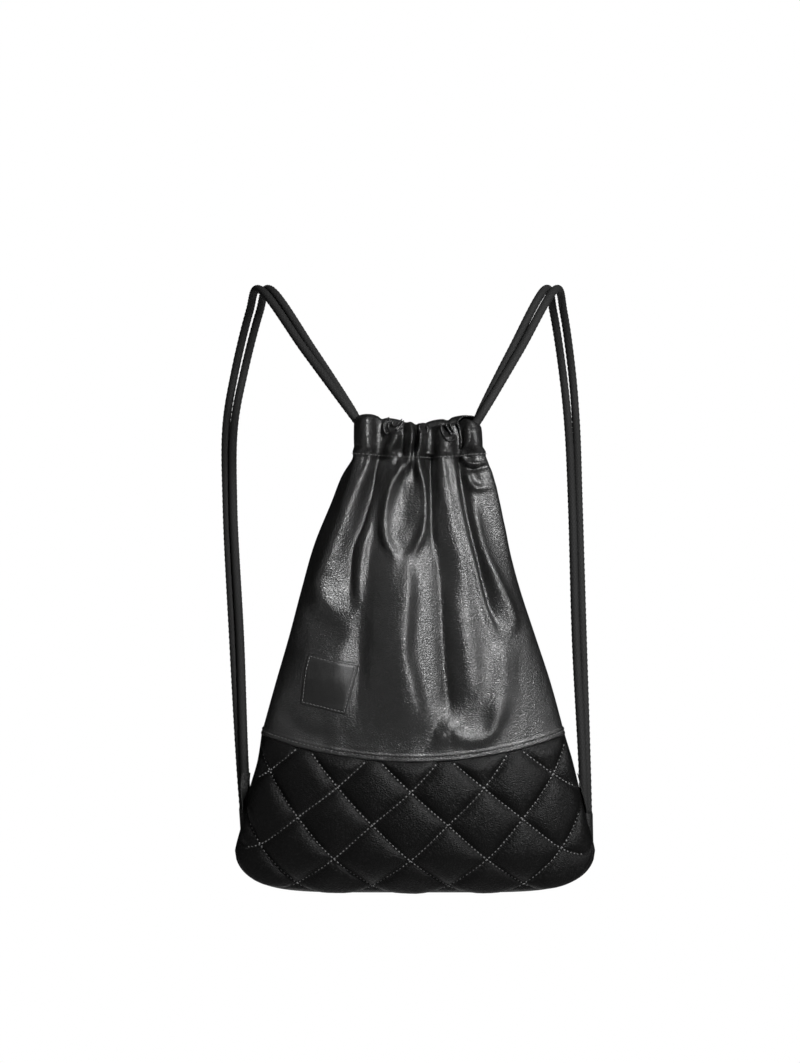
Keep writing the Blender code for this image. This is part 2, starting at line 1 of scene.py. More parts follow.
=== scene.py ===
"""Dresses the quilted drawstring bag: leather, quilting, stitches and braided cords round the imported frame.

The bag is modelled about its own middle plane (y = 0) and its hem line (z = 0), in metres, and set in place by
BagForm.place. Tables of folds are in millimetres on the bag's face, x to the right and z up from the hem line.
"""

import logging
import math
from dataclasses import dataclass, field
from enum import Enum
from typing import Callable, Iterable, Optional, Sequence

import bmesh
import bpy
import numpy as np
from mathutils import Matrix, Vector, noise


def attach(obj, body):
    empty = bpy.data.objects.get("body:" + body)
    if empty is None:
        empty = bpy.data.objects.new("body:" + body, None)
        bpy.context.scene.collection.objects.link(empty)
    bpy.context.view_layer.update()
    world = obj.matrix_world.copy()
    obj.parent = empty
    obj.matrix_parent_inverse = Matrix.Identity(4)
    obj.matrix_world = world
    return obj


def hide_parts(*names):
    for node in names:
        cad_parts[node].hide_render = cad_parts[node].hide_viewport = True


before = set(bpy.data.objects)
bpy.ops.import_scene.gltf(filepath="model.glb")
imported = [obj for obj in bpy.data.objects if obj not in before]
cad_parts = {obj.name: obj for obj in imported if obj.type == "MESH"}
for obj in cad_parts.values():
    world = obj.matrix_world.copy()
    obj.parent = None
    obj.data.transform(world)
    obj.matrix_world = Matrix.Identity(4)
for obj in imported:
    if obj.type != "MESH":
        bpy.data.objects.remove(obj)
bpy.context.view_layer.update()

LOG = logging.getLogger("drawstring_bag")
ROOT = "root"
MM = 0.001
SIDE_FADE = 0.45
ROUND_FADE = 0.60

Value = float | np.ndarray


class Face(Enum):
    """Which side of the bag a piece is on."""

    FRONT = -1
    BACK = 1


class Side(Enum):
    """Which corner or shoulder a piece belongs to, seen from the front."""

    LEFT = -1
    RIGHT = 1


# ---------------------------------------------------------------------------------------------------------
# Numbers


def mix(low: Value, high: Value, share: Value) -> Value:
    """Goes a share of the way from one value to another."""
    return low + (high - low) * share


def ease(share: np.ndarray) -> np.ndarray:
    """Turns 0 to 1 into a soft step, flat at both ends."""
    held = np.clip(share, 0.0, 1.0)
    return held * held * (3.0 - 2.0 * held)


def read_curve(stops: Sequence[float], values: Sequence[float], at: np.ndarray) -> np.ndarray:
    """Reads a smooth curve through a table's rows.

    Args:
        stops: where the rows stand, rising.
        values: what the rows say there.
        at: the places to read.

    Returns:
        The curve's value at each place.
    """
    stops, values = np.asarray(stops, float), np.asarray(values, float)
    last = len(stops) - 1
    before = np.maximum(np.arange(last + 1) - 1, 0)
    after = np.minimum(np.arange(last + 1) + 1, last)
    slope = (values[after] - values[before]) / (stops[after] - stops[before])
    at = np.clip(at, stops[0], stops[-1])
    index = np.clip(np.searchsorted(stops, at, side="right") - 1, 0, last - 1)
    span = stops[index + 1] - stops[index]
    along = (at - stops[index]) / span
    squared, cubed = along**2, along**3
    return (
        values[index] * (2 * cubed - 3 * squared + 1)
        + slope[index] * span * (cubed - 2 * squared + along)
        + values[index + 1] * (3 * squared - 2 * cubed)
        + slope[index + 1] * span * (cubed - squared)
    )


def smooth_line(points: Sequence[Sequence[float]], steps: int) -> np.ndarray:
    """Reads a fine line from a smooth curve through a few given points.

    Args:
        points: the route's points, in two or three dimensions.
        steps: how many places are read between two points.

    Returns:
        The line's places, one row each.
    """
    route = np.asarray(points, float)
    ends = np.vstack([2 * route[0] - route[1], route, 2 * route[-1] - route[-2]])
    line = []
    for first, second, third, fourth in zip(ends, ends[1:], ends[2:], ends[3:]):
        knots = [0.0]
        for before, after in ((first, second), (second, third), (third, fourth)):
            knots.append(knots[-1] + math.sqrt(np.linalg.norm(after - before)))
        at = mix(knots[1], knots[2], np.arange(steps) / steps)[:, None]
        layer = [np.broadcast_to(corner, (steps, route.shape[1])) for corner in (first, second, third, fourth)]
        for reach in (1, 2):
            layer = [
                before + (after - before) * (at - knots[place]) / (knots[place + reach] - knots[place])
                for place, (before, after) in enumerate(zip(layer, layer[1:]))
            ]
        line.append(layer[0] + (layer[1] - layer[0]) * (at - knots[1]) / (knots[2] - knots[1]))
    return np.vstack([*line, route[-1:]])


def even_line(line: np.ndarray, count: int) -> np.ndarray:
    """Reads a line at even steps of its length.

    Args:
        line: the line's places, a row each.
        count: how many places are read.

    Returns:
        The places, a row each.
    """
    lengths = np.concatenate([[0.0], np.cumsum(np.linalg.norm(np.diff(line, axis=0), axis=1))])
    at = np.linspace(0.0, lengths[-1], count)
    return np.stack([np.interp(at, lengths, line[:, axis]) for axis in range(line.shape[1])], axis=1)


def line_length(line: np.ndarray) -> float:
    """Measures a line."""
    return float(np.linalg.norm(np.diff(line, axis=0), axis=1).sum())


def round_end(share: np.ndarray, length: float, reach: float) -> np.ndarray:
    """Rounds both ends of a long form off.

    Args:
        share: how far along the form the places are, 0 to 1.
        length: the form's length.
        reach: the length over which each end comes up to full size.

    Returns:
        The share of the full size at each place, 0 at both ends.
    """
    near_end = np.minimum(np.minimum(share, 1 - share) * length / reach, 1.0)
    return np.sqrt(np.clip(1 - (1 - near_end) ** 2, 0.0, 1.0))


def soft_noise(places: np.ndarray, size: float, seed: float) -> np.ndarray:
    """Gives smooth noise of about -1 to 1 at each place.

    Args:
        places: the places, in metres.
        size: how far apart its bumps are, in metres.
        seed: shifts the pattern.

    Returns:
        One value for each place.
    """
    shift = Vector((seed, seed * 1.7, -seed))
    return np.array([noise.noise(Vector(place) / size + shift) for place in places])


# ---------------------------------------------------------------------------------------------------------
# Form of the bag


@dataclass(frozen=True)
class Section:
    """One row of the upper bag's outline."""

    height: float
    left: float
    right: float
    front: float
    back: float
    power: float


@dataclass(frozen=True)
class BaseSection:
    """One row of the quilted base's outline."""

    height: float
    left: float
    right: float
    deep: float
    fall: float


@dataclass(frozen=True)
class Oval:
    """Plan outlines of the bag, one for each place that is worked out."""

    left: np.ndarray
    right: np.ndarray
    front: np.ndarray
    back: np.ndarray
    power: np.ndarray

    def point(self, turn: np.ndarray, face: Face) -> tuple[np.ndarray, np.ndarray]:
        """Gives places on the outline and their outward directions.

        Args:
            turn: 0 at the left side to 1 at the right.
            face: the front or the back half.

        Returns:
            The places and the directions, a row each, with z left at 0.
        """
        half, middle = (self.left + self.right) / 2, (self.right - self.left) / 2
        depth = self.front if face is Face.FRONT else self.back
        across, deep = -np.cos(math.pi * turn), np.maximum(np.sin(math.pi * turn), 0.0)
        reach = (np.abs(across) ** self.power + deep**self.power) ** (-1 / self.power)
        across, deep = across * reach, deep * reach
        x = middle + half * across
        y = face.value * depth * deep
        out_x = depth * np.sign(across) * np.abs(across) ** (self.power - 1)
        out_y = half * face.value * deep ** (self.power - 1)
        length = np.hypot(out_x, out_y)
        flat = length < 1e-12
        length = np.where(flat, 1.0, length)
        out_y = np.where(flat, float(face.value), out_y)
        zero = np.zeros_like(x)
        return np.stack([x, y, zero], axis=1), np.stack([out_x / length, out_y / length, zero], axis=1)

    def turn(self, x: np.ndarray) -> np.ndarray:
        """Finds the turns whose places lie at given distances across."""
        part = np.clip((x - (self.right - self.left) / 2) / ((self.left + self.right) / 2), -1.0, 1.0)
        return np.arctan2((1 - np.abs(part) ** self.power) ** (1 / self.power), -part) / math.pi

    def fade(self, turn: np.ndarray) -> np.ndarray:
        """Fades relief out towards the sides, later where the outline is round."""
        return side_fade(turn, mix(SIDE_FADE, ROUND_FADE, np.clip((self.power - 2) / 2, 0.0, 1.0)))

    def across(self, x: np.ndarray) -> np.ndarray:
        """Says how far across the outline places lie, 0 at the left side and 1 at the right."""
        return (x + self.left) / (self.left + self.right)


@dataclass(frozen=True)
class BagForm:
    """Plain shape of the bag, as its solids have it, before folds and puffs."""

    base_width: float = 0.350
    mouth_width: float = 0.121
    mouth_shift: float = 0.0024
    mouth_depth: float = 0.052
    front_depth: float = 0.056
    back_depth: float = 0.040
    upper_height: float = 0.293
    base_height: float = 0.131
    seam_sag: float = 0.024
    hem_sag: float = 0.004
    corner_lift: float = 0.041
    corner_power: int = 6
    base_fabric: float = 0.146
    place: tuple[float, float, float] = (0.0, -0.105, -0.1655)
    upper: tuple[Section, ...] = (
        Section(0.00, 0.777, 0.734, 0.81, 0.87, 2.0),
        Section(0.18, 0.662, 0.616, 0.97, 1.00, 2.0),
        Section(0.35, 0.549, 0.482, 1.00, 1.00, 2.0),
        Section(0.515, 0.449, 0.352, 0.90, 0.87, 2.1),
        Section(0.68, 0.341, 0.243, 0.68, 0.67, 2.3),
        Section(0.84, 0.191, 0.139, 0.36, 0.40, 2.8),
        Section(0.93, 0.108, 0.070, 0.15, 0.20, 3.4),
        Section(1.00, 0.000, 0.000, 0.00, 0.00, 4.0),
    )
    base: tuple[BaseSection, ...] = (
        BaseSection(0.00, 0.777, 0.734, 1.00, 0.00),
        BaseSection(0.20, 0.811, 0.803, 1.00, 0.23),
        BaseSection(0.43, 0.880, 0.866, 0.93, 0.48),
        BaseSection(0.66, 0.935, 0.930, 0.76, 0.74),
        BaseSection(0.885, 0.985, 0.985, 0.38, 0.93),
        BaseSection(1.00, 1.000, 1.000, 0.00, 1.00),
    )

    def read(self, rows: Sequence, column: str, height: np.ndarray) -> np.ndarray:
        """Reads one column of a table of sections at some heights."""
        return read_curve([row.height for row in rows], [getattr(row, column) for row in rows], height)

    def half_widths(self, rows: Sequence, height: np.ndarray) -> tuple[np.ndarray, np.ndarray]:
        """Gives the left and right half widths at some heights.

        Args:
            rows: the table of sections.
            height: height shares.

        Returns:
            The left and the right half widths.
        """
        return (
            mix(self.mouth_width / 2 - self.mouth_shift, self.base_width / 2, self.read(rows, "left", height)),
            mix(self.mouth_width / 2 + self.mouth_shift, self.base_width / 2, self.read(rows, "right", height)),
        )

    def upper_oval(self, height: np.ndarray) -> Oval:
        """Gives the upper bag's outlines.

        Args:
            height: height shares, 0 at the seam and 1 at the hem.

        Returns:
            The outlines.
        """
        left, right = self.half_widths(self.upper, height)
        front = mix(self.mouth_depth / 2, self.front_depth, self.read(self.upper, "front", height))
        back = mix(self.mouth_depth / 2, self.back_depth, self.read(self.upper, "back", height))
        return Oval(left, right, front, back, self.read(self.upper, "power", height))

    def base_oval(self, height: np.ndarray) -> Oval:
        """Gives the base's outlines.

        Args:
            height: height shares, 0 at the seam and 1 at the bottom fold.

        Returns:
            The outlines.
        """
        left, right = self.half_widths(self.base, height)
        seam = self.upper_oval(np.zeros(1))
        deep = np.maximum(self.read(self.base, "deep", height), 0.0)
        power = np.full_like(deep, seam.power[0])
        return Oval(left, right, seam.front[0] * deep, seam.back[0] * deep, power)

    def seam_z(self, across: np.ndarray) -> np.ndarray:
        """Gives the height of the seam between the upper bag and the base."""
        return -self.upper_height + self.seam_sag * (2 * across - 1) ** 2

    def hem_z(self, across: np.ndarray) -> np.ndarray:
        """Gives the height of the hem line under the cord tunnel."""
        return self.hem_sag * ((2 * across - 1) ** 2 - 1)

    def bottom_z(self, across: np.ndarray) -> np.ndarray:
        """Gives the height of the bottom fold, which rounds up into the corners."""
        level = np.sqrt(np.maximum(1 - (2 * across - 1) ** self.corner_power, 0.0))
        return -self.upper_height - self.base_height + self.corner_lift * (1 - level)

    def set_place(self, places: np.ndarray) -> np.ndarray:
        """Moves places from the bag's own frame to the object's."""
        return places + np.array(self.place)


FORM = BagForm()


def side_fade(turn: np.ndarray, reach: Value) -> np.ndarray:
    """Fades relief out towards the side seams."""
    return ease(np.sin(math.pi * turn) / reach)


# ---------------------------------------------------------------------------------------------------------
# Folds


@dataclass(frozen=True)
class Fold:
    """One ridge (rise above 0) or gully (below 0), led along a line on the bag's face, in millimetres.

    Lean widens its right flank, seen going down the line, and narrows its left one. The fades are shares
    of its length over which it comes and goes.
    """

    name: str
    rise: float
    width: float
    points: tuple[tuple[float, float], ...]
    lean: float = 0.0
    fade_in: float = 0.0
    fade_out: float = 0.3
    sharp: float = 2.0
    reach: float = 3.4
    side_blend: float = 0.3

    def lift(self, x: np.ndarray, z: np.ndarray) -> np.ndarray:
        """Says how far the fold lifts each place.

        Args:
            x: places across, in metres.
            z: places up from the hem line, in metres.

        Returns:
            The lift at each place, in metres.
        """
        route = smooth_line(self.points, 8) * MM
        reach = self.width * MM * self.reach
        near = (
            (x > route[:, 0].min() - reach)
            & (x < route[:, 0].max() + reach)
            & (z > route[:, 1].min() - reach)
            & (z < route[:, 1].max() + reach)
        )
        lift = np.zeros_like(x)
        if not near.any():
            return lift
        start, step = route[:-1], np.diff(route, axis=0)
        lengths = np.hypot(step[:, 0], step[:, 1])
        past = np.concatenate([[0.0], np.cumsum(lengths)])
        away_x = x[near][:, None] - start[:, 0]
        away_z = z[near][:, None] - start[:, 1]
        along = np.clip((away_x * step[:, 0] + away_z * step[:, 1]) / lengths**2, 0.0, 1.0)
        off_x, off_z = away_x - along * step[:, 0], away_z - along * step[:, 1]
        distance = np.hypot(off_x, off_z)
        best = distance.argmin(axis=1)
        row = np.arange(len(best))
        off_x, off_z, distance = off_x[row, best], off_z[row, best], distance[row, best]
        off_side = (step[best, 0] * off_z - step[best, 1] * off_x) / lengths[best]
        side = np.tanh(off_side / (self.side_blend * self.width * MM))
        share = (past[best] + along[row, best] * lengths[best]) / past[-1]
        strength = ease((1 - share) / max(self.fade_out, 1e-6))
        if self.fade_in > 0:
            strength = strength * ease(share / self.fade_in)
        flank = self.width * MM * (1 + self.lean * side)
        lift[near] = self.rise * MM * strength * np.exp(-((distance / flank) ** self.sharp))
        return lift


FRONT_FOLDS: tuple[Fold, ...] = (
    Fold("left_shoulder", 8.5, 9.5,
         ((-46, 40), (-46, 15), (-43, -3), (-51, -24), (-67, -62), (-81, -101), (-89, -122), (-83, -143), (-67, -156)),
         lean=-0.15, fade_out=0.14),
    Fold("left_gully", -10.5, 6.5,
         ((-33, 40), (-33, 15), (-38, -9), (-44, -40), (-53, -67), (-62, -88), (-65, -120), (-63, -144), (-61, -156)),
         fade_out=0.2, sharp=1.6),
    Fold("inner_left_ridge", 4.5, 5.5,
         ((-40, -24), (-41, -36), (-45, -64), (-50, -89), (-54, -118), (-55, -146), (-62, -163)), fade_in=0.2),
    Fold("left_valley", -7.0, 11.0,
         ((-37, -14), (-42, -65), (-48, -107), (-53, -161), (-54, -204), (-56, -245), (-60, -268)),
         fade_in=0.2, fade_out=0.25, sharp=1.6),
    Fold("drop_left", 7.5, 5.5,
         ((-2, 33), (-1.6, 20), (-3.5, 11.5), (-5, -2), (-12, -11), (-20, -23), (-26, -40), (-30, -60), (-28, -80),
          (-20, -95), (-10, -104)), fade_in=0.1, fade_out=0.2),
    Fold("left_loops", 6.5, 5.0, ((-16.5, 25), (-20.5, 14), (-26, 4.5), (-29, -6)), fade_in=0.2, fade_out=0.4),
    Fold("drop_right", 7.0, 4.8,
         ((7, 34), (6, 15), (3, -5), (9, -26), (12, -47), (8, -72), (-1, -91), (-9, -104)), fade_out=0.2),
    Fold("drop_hollow", -3.0, 9.0, ((-9, -14), (-10, -47), (-11, -78)), fade_in=0.4),
    Fold("middle_ridge", 14.0, 19.0,
         ((-12, -84), (-9, -125), (-11, -161), (-12, -189), (-6, -217), (1, -246), (9, -265), (19, -276)),
         lean=-0.52, fade_in=0.3, fade_out=0.25),
    Fold("middle_hook", 5.0, 8.0,
         ((12, -272), (20, -274), (28, -268), (33, -262), (41, -269), (55, -272), (69, -268), (78, -252), (80, -225)),
         fade_in=0.15, fade_out=0.35),
    Fold("dark_gully", -12.0, 5.0, ((15, 36), (15, 15), (15, -18), (15, -54), (16, -76), (19, -105)),
         fade_out=0.4, sharp=1.6),
    Fold("broad_valley", -9.0, 9.0, ((17, -66), (22, -101), (25, -136), (27, -175), (30, -217), (34, -258)),
         fade_in=0.25, fade_out=0.15, sharp=1.5),
    Fold("middle_panel", 6.5, 11.0, ((29, 34), (29, 15), (28, -18), (33, -51), (41, -90), (46, -125), (51, -175)),
         fade_out=0.5),
    Fold("lower_panel", 5.0, 13.0, ((42, -130), (48, -175), (53, -215), (56, -250)), fade_in=0.4, fade_out=0.3),
    Fold("bright_rib", 5.5, 4.5,
         ((37, -3), (43, -36), (50, -72), (58, -107), (67, -139), (76, -168), (84, -182)), fade_in=0.1, fade_out=0.2),
    Fold("right_gully", -10.0, 5.0,
         ((42, 36), (42, 15), (47, -40), (54, -76), (63, -107), (73, -146), (82, -172)), fade_out=0.15, sharp=1.7),
    Fold("right_rib", 5.5, 6.0,
         ((52, -40), (64, -92), (78, -122), (89, -145), (93, -163), (88, -180)), fade_in=0.2, fade_out=0.2),
    Fold("buckle", 4.2, 3.6, ((46, -13), (49, -20), (53, -28), (60, -31.5), (68, -31), (72, -36)),
         fade_in=0.2, fade_out=0.5),
    Fold("right_edge", 6.0, 7.0,
         ((55, 34), (60, 10), (67, -14), (75, -40), (84, -68), (93, -101), (98, -130)), fade_out=0.4),
    Fold("low_right", 4.5, 12.0, ((86, -172), (83, -206), (80, -234), (74, -262)), fade_in=0.3),
    Fold("low_left_band", -3.0, 8.0, ((-128, -231), (-119, -256), (-101, -267), (-69, -272)), fade_in=0.3),
    Fold("left_slope_dip", -3.0, 9.0, ((-105, -150), (-80, -170), (-62, -178)), fade_in=0.4, fade_out=0.4),
    Fold("patch_bulge", 6.0, 26.0, ((-93, -172), (-91, -240)), fade_in=0.4, fade_out=0.4),
    Fold("left_opening", -10.0, 7.5, ((-21, 42), (-20, 27)), fade_out=0.3),
    Fold("middle_opening", -11.0, 4.0, ((8, 42), (8, 23)), fade_out=0.3),
    Fold("right_opening", -13.0, 6.0, ((31, 42), (32, 30), (34, 17)), fade_out=0.25),
    Fold("right_puff", 4.5, 8.0, ((54, 30), (56, 2)), fade_in=0.3, fade_out=0.3),
    Fold("puff_edge", 3.2, 2.4, ((48.5, 31), (48.8, 15), (45, 3), (48, -5), (57, -8), (64, -4)),
         fade_in=0.1, fade_out=0.2),
    Fold("puff_foot", -3.4, 2.6, ((43, -2), (47, -10), (57, -13.5), (67, -9)), fade_in=0.2, fade_out=0.2),
    Fold("middle_gather", 3.0, 13.0, ((-3, 40), (-3, 2)), fade_out=0.4),
    Fold("left_notch", -5.0, 3.2, ((-11.5, 38), (-12, 4), (-13, -6)), fade_out=0.4),
    Fold("right_notch", -9.0, 2.2, ((1.2, 36), (0.4, 12), (-1.4, 2), (-3, -7)), fade_out=0.4),
)

BACK_FOLDS: tuple[Fold, ...] = (
    Fold("back_left", 7.0, 9.0, ((-42, 40), (-44, 0), (-56, -50), (-74, -120), (-84, -180)), fade_out=0.5),
    Fold("back_left_dip", -5.5, 5.5, ((-31, 38), (-32, 0), (-39, -50), (-47, -110)), fade_out=0.5, sharp=1.5),
    Fold("back_inner", 6.0, 7.0, ((-20, 36), (-21, 0), (-25, -50), (-33, -120), (-44, -200)), fade_out=0.5),
    Fold("back_dip", -6.0, 5.0, ((-8, 36), (-9, 0), (-10, -60), (-12, -130)), fade_out=0.5, sharp=1.5),
    Fold("back_middle", 6.5, 9.0, ((4, 34), (4, 0), (6, -60), (10, -130), (12, -190)), fade_out=0.5),
    Fold("back_right_dip", -5.5, 5.0, ((17, 34), (18, 0), (22, -60), (27, -120)), fade_out=0.5, sharp=1.5),
    Fold("back_right_inner", 6.0, 7.0, ((30, 34), (32, 0), (42, -60), (52, -130), (58, -190)), fade_out=0.5),
    Fold("back_notch", -5.0, 4.5, ((42, 34), (45, 0), (56, -55), (66, -100)), fade_out=0.5, sharp=1.6),
    Fold("back_right", 7.0, 8.0, ((53, 34), (57, 0), (72, -55), (86, -110), (95, -160)), fade_out=0.5),
)


@dataclass(frozen=True)
class Relief:
    """Everything that lifts the leather off the bag's plain form: folds, small pleats and soft unevenness."""

    folds: tuple[Fold, ...]
    face: Face
    pleats: int = 26
    pleat_rise: float = 0.0011
    pleat_span: tuple[float, float] = (-56.0, 60.0)
    pleat_length: tuple[float, float] = (18.0, 70.0)
    pleat_width: tuple[float, float] = (2.0, 3.4)
    pleat_start: tuple[float, float] = (2.0, 8.0)
    pleat_spread: float = 110.0
    uneven: tuple[tuple[float, float, float], ...] = ((0.0012, 0.026, 3.1), (0.00042, 0.009, 7.7))
    uneven_reach: float = 0.02
    uneven_stretch: float = 0.45
    gather: float = 1.35
    gather_reach: float = 0.080
    deepest: float = 0.030
    tunnel_deepest: float = 0.0062
    tunnel_start: float = 0.006
    tunnel_reach: float = 0.008
    tunnel_out: float = 0.0030
    tunnel_out_start: float = 0.007
    tunnel_out_reach: float = 0.021
    pinch: float = 0.03
    pinch_reach: float = 0.003
    seed: int = 11

    def pleat_rows(self) -> list[Fold]:
        """Draws the small pleats that spread from the hem.

        Returns:
            The pleats.
        """
        draw = np.random.default_rng(self.seed + self.face.value)
        rows = []
        for index in range(self.pleats):
            top = mix(*self.pleat_span, (index + draw.uniform(0.2, 0.8)) / self.pleats)
            length = draw.uniform(*self.pleat_length)
            foot = top * (1 + length / self.pleat_spread) + draw.uniform(-3.0, 3.0)
            middle = mix(top, foot, 0.5) + draw.uniform(-1.5, 1.5)
            rise = self.pleat_rise / MM * draw.uniform(0.5, 1.3) * draw.choice([1.0, -1.0])
            points = ((top, draw.uniform(*self.pleat_start)), (middle, -length / 2), (foot, -length))
            rows.append(Fold("pleat", rise, draw.uniform(*self.pleat_width), points, fade_in=0.1, fade_out=0.7))
        return rows

    def lift(self, x: np.ndarray, z: np.ndarray) -> np.ndarray:
        """Adds up the relief at places on the face.

        Args:
            x: places across, in metres.
            z: places up from the hem line, in metres.

        Returns:
            The relief at each place, in metres.
        """
        total = np.zeros_like(x)
        for fold in (*self.folds, *self.pleat_rows()):
            total += fold.lift(x, z)
        total *= mix(1.0, self.gather, ease((z + self.gather_reach) / self.gather_reach))
        total *= 1 - self.pinch * np.exp(-((z / self.pinch_reach) ** 2))
        deepest = mix(self.deepest, self.tunnel_deepest, ease((z + self.tunnel_start) / self.tunnel_reach))
        total = np.where(total < 0, -deepest * (1 - np.exp(total / deepest)), total)
        total += self.tunnel_out * ease((z + self.tunnel_out_start) / self.tunnel_out_reach)
        stretched = np.stack([x, z * self.uneven_stretch, np.zeros_like(x)], axis=1)
        for rise, size, seed in self.uneven:
            total += rise * ease(-z / self.uneven_reach) * soft_noise(stretched, size, seed * self.face.value)
        return total


@dataclass(frozen=True)
class Quilting:
    """Stitch lines that cross in diamonds, and the padding that swells between them."""

    width: float = 0.0725
    height: float = 0.067
    shift: float = -0.0045
    phase: float = 0.0045
    puff: float = 0.0056
    rounding: float = 0.0056
    back_shift: float = 0.31
    pucker: float = 0.00022
    pucker_pitch: float = 0.0088
    pucker_reach: float = 0.0085
    pucker_gap: float = 0.0016
    pucker_wander: float = 2.2
    crown: float = 0.90
    soft: float = 0.00045
    soft_size: float = 0.017
    wander_size: float = 0.012
    strength_size: float = 0.02

    @property
    def diagonal(self) -> float:
        """Gives the diagonal of the box round a diamond."""
        return math.hypot(self.width, self.height)

    @property
    def spacing(self) -> float:
        """Gives the distance between neighbouring stitch lines."""
        return self.width * self.height / self.diagonal

    def cells(self, along: object, down: object) -> tuple:
        """Gives two cell numbers, whole on the stitch lines, for arrays or for signals.

        Args:
            along: places or a signal across the fabric.
            down: places or a signal down it.

        Returns:
            The rising and the falling lines' numbers.
        """
        across_cell = (along - self.shift) / self.width + 0.5
        down_cell = (down + self.phase) / self.height
        return across_cell + down_cell, across_cell - down_cell

    def distances(self, along: np.ndarray, down: np.ndarray) -> tuple[np.ndarray, np.ndarray]:
        """Gives the distance to the nearest line of each family."""
        rising, falling = (np.abs(cell - np.round(cell)) * self.spacing for cell in self.cells(along, down))
        return rising, falling

    def rise(self, along: np.ndarray, down: np.ndarray) -> np.ndarray:
        """Gives the height of the padding, puckers included.

        Args:
            along: places across the fabric from its middle.
            down: places down the fabric from the seam.

        Returns:
            The height at each place.
        """
        first, second = self.distances(along, down)
        pillow = (1 - np.exp(-first / self.rounding)) * (1 - np.exp(-second / self.rounding))
        pillow = self.puff * pillow / self.crown
        places = np.stack([along, down, np.zeros_like(along)], axis=1)
        wander = soft_noise(places, self.wander_size, 5.0)
        strength = 0.6 + 0.8 * (0.5 + 0.5 * soft_noise(places, self.strength_size, 9.0))
        rising, falling = self.cells(along, down)
        ripple = np.zeros_like(along)
        for distance, other in ((first, falling), (second, rising)):
            wave = np.cos(2 * math.pi * other * self.diagonal / self.pucker_pitch + self.pucker_wander * wander)
            ripple += wave * np.exp(-distance / self.pucker_reach) * (1 - np.exp(-distance / self.pucker_gap))
        soft = self.soft * soft_noise(places, self.soft_size, 2.0)
        return pillow + self.pucker * strength * ripple + soft

    def lines(self, half: float, drop: float) -> Iterable[np.ndarray]:
        """Lists the stitch lines as rows of places along and down the fabric.

        Args:
            half: half the quilted width.
            drop: how far down the quilting goes.

        Returns:
            The lines, one by one.
        """
        slope = self.width / self.height
        reach = int((half + drop * slope) / self.width) + 2
        down = np.linspace(0.0, drop, 220)
        for number in range(-reach, reach + 1):
            for sign in (-1.0, 1.0):
                cell = (down + self.phase) / self.height
                along = self.shift + (number - 0.5 + sign * cell) * self.width
                inside = np.abs(along) < half
                if inside.sum() > 12:
                    yield np.stack([along[inside], down[inside]], axis=1)


# ---------------------------------------------------------------------------------------------------------
# Meshes


Placer = Callable[[np.ndarray, np.ndarray], np.ndarray]


def grid_piece(
    name: str, across: int, along: int, place: Placer, flip: bool = False, weld: bool = False
) -> bpy.types.Object:
    """Makes a sheet or tube from a grid whose points are all moved to their places.

    Args:
        name: the piece's name.
        across: cells along the grid's first way.
        along: cells along its second way.
        place: gives places in the object's frame for two arrays of shares from 0 to 1.
        flip: whether the faces are turned round.
        weld: whether edges and poles that meet are joined.

    Returns:
        The new object, at the origin.
    """
    mesh = bmesh.new()
    mesh.loops.layers.uv.new("UVMap")
    bmesh.ops.create_grid(mesh, x_segments=across, y_segments=along, size=0.5, calc_uvs=True)
    data = bpy.data.meshes.new(name)
    mesh.to_mesh(data)
    mesh.free()
    flat = np.empty(len(data.vertices) * 3)
    data.vertices.foreach_get("co", flat)
    places = place(flat[0::3] + 0.5, flat[1::3] + 0.5)
    data.vertices.foreach_set("co", np.ascontiguousarray(places, dtype=float).ravel())
    data.update()
    if flip or weld:
        mesh = bmesh.new()
        mesh.from_mesh(data)
        if weld:
            bmesh.ops.remove_doubles(mesh, verts=mesh.verts, dist=2e-6)
        if flip:
            bmesh.ops.reverse_faces(mesh, faces=mesh.faces)
        mesh.to_mesh(data)
        mesh.free()
    data.shade_smooth()
    return add_object(name, data)


def add_object(name: str, data: bpy.types.ID) -> bpy.types.Object:
    """Links a mesh or curve into the scene as an object at the origin.

    Args:
        name: its name.
        data: its mesh, light or camera.

    Returns:
        The new object.
    """
    made = bpy.data.objects.new(name, data)
    bpy.context.scene.collection.objects.link(made)
    return made


def thicken(piece: bpy.types.Object, thickness: float, offset: float) -> None:
    """Gives an open sheet its wall.

    Args:
        piece: the piece.
        thickness: the wall's thickness.
        offset: -1 to grow inwards, 0 to grow both ways.
    """
    wall = piece.modifiers.new("wall", "SOLIDIFY")
    wall.thickness = thickness
    wall.offset = offset
    wall.use_even_offset = True
    wall.use_quality_normals = True
    wall.thickness_clamp = 1.0


def fit_out(piece: bpy.types.Object, material: bpy.types.Material, slot: str, *nodes: str) -> bpy.types.Object:
    """Gives a piece its finish and its body, and hides the nodes that it stands for.

    Args:
        piece: the piece.
        material: its finish.
        slot: not used.
        nodes: the solids that it stands for.

    Returns:
        The same piece.
    """
    piece.data.materials.append(material)
    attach(piece, ROOT)
    if nodes:
        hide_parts(*nodes)
    LOG.info("%s: %d faces", piece.name, len(getattr(piece.data, "polygons", ())))
    return piece


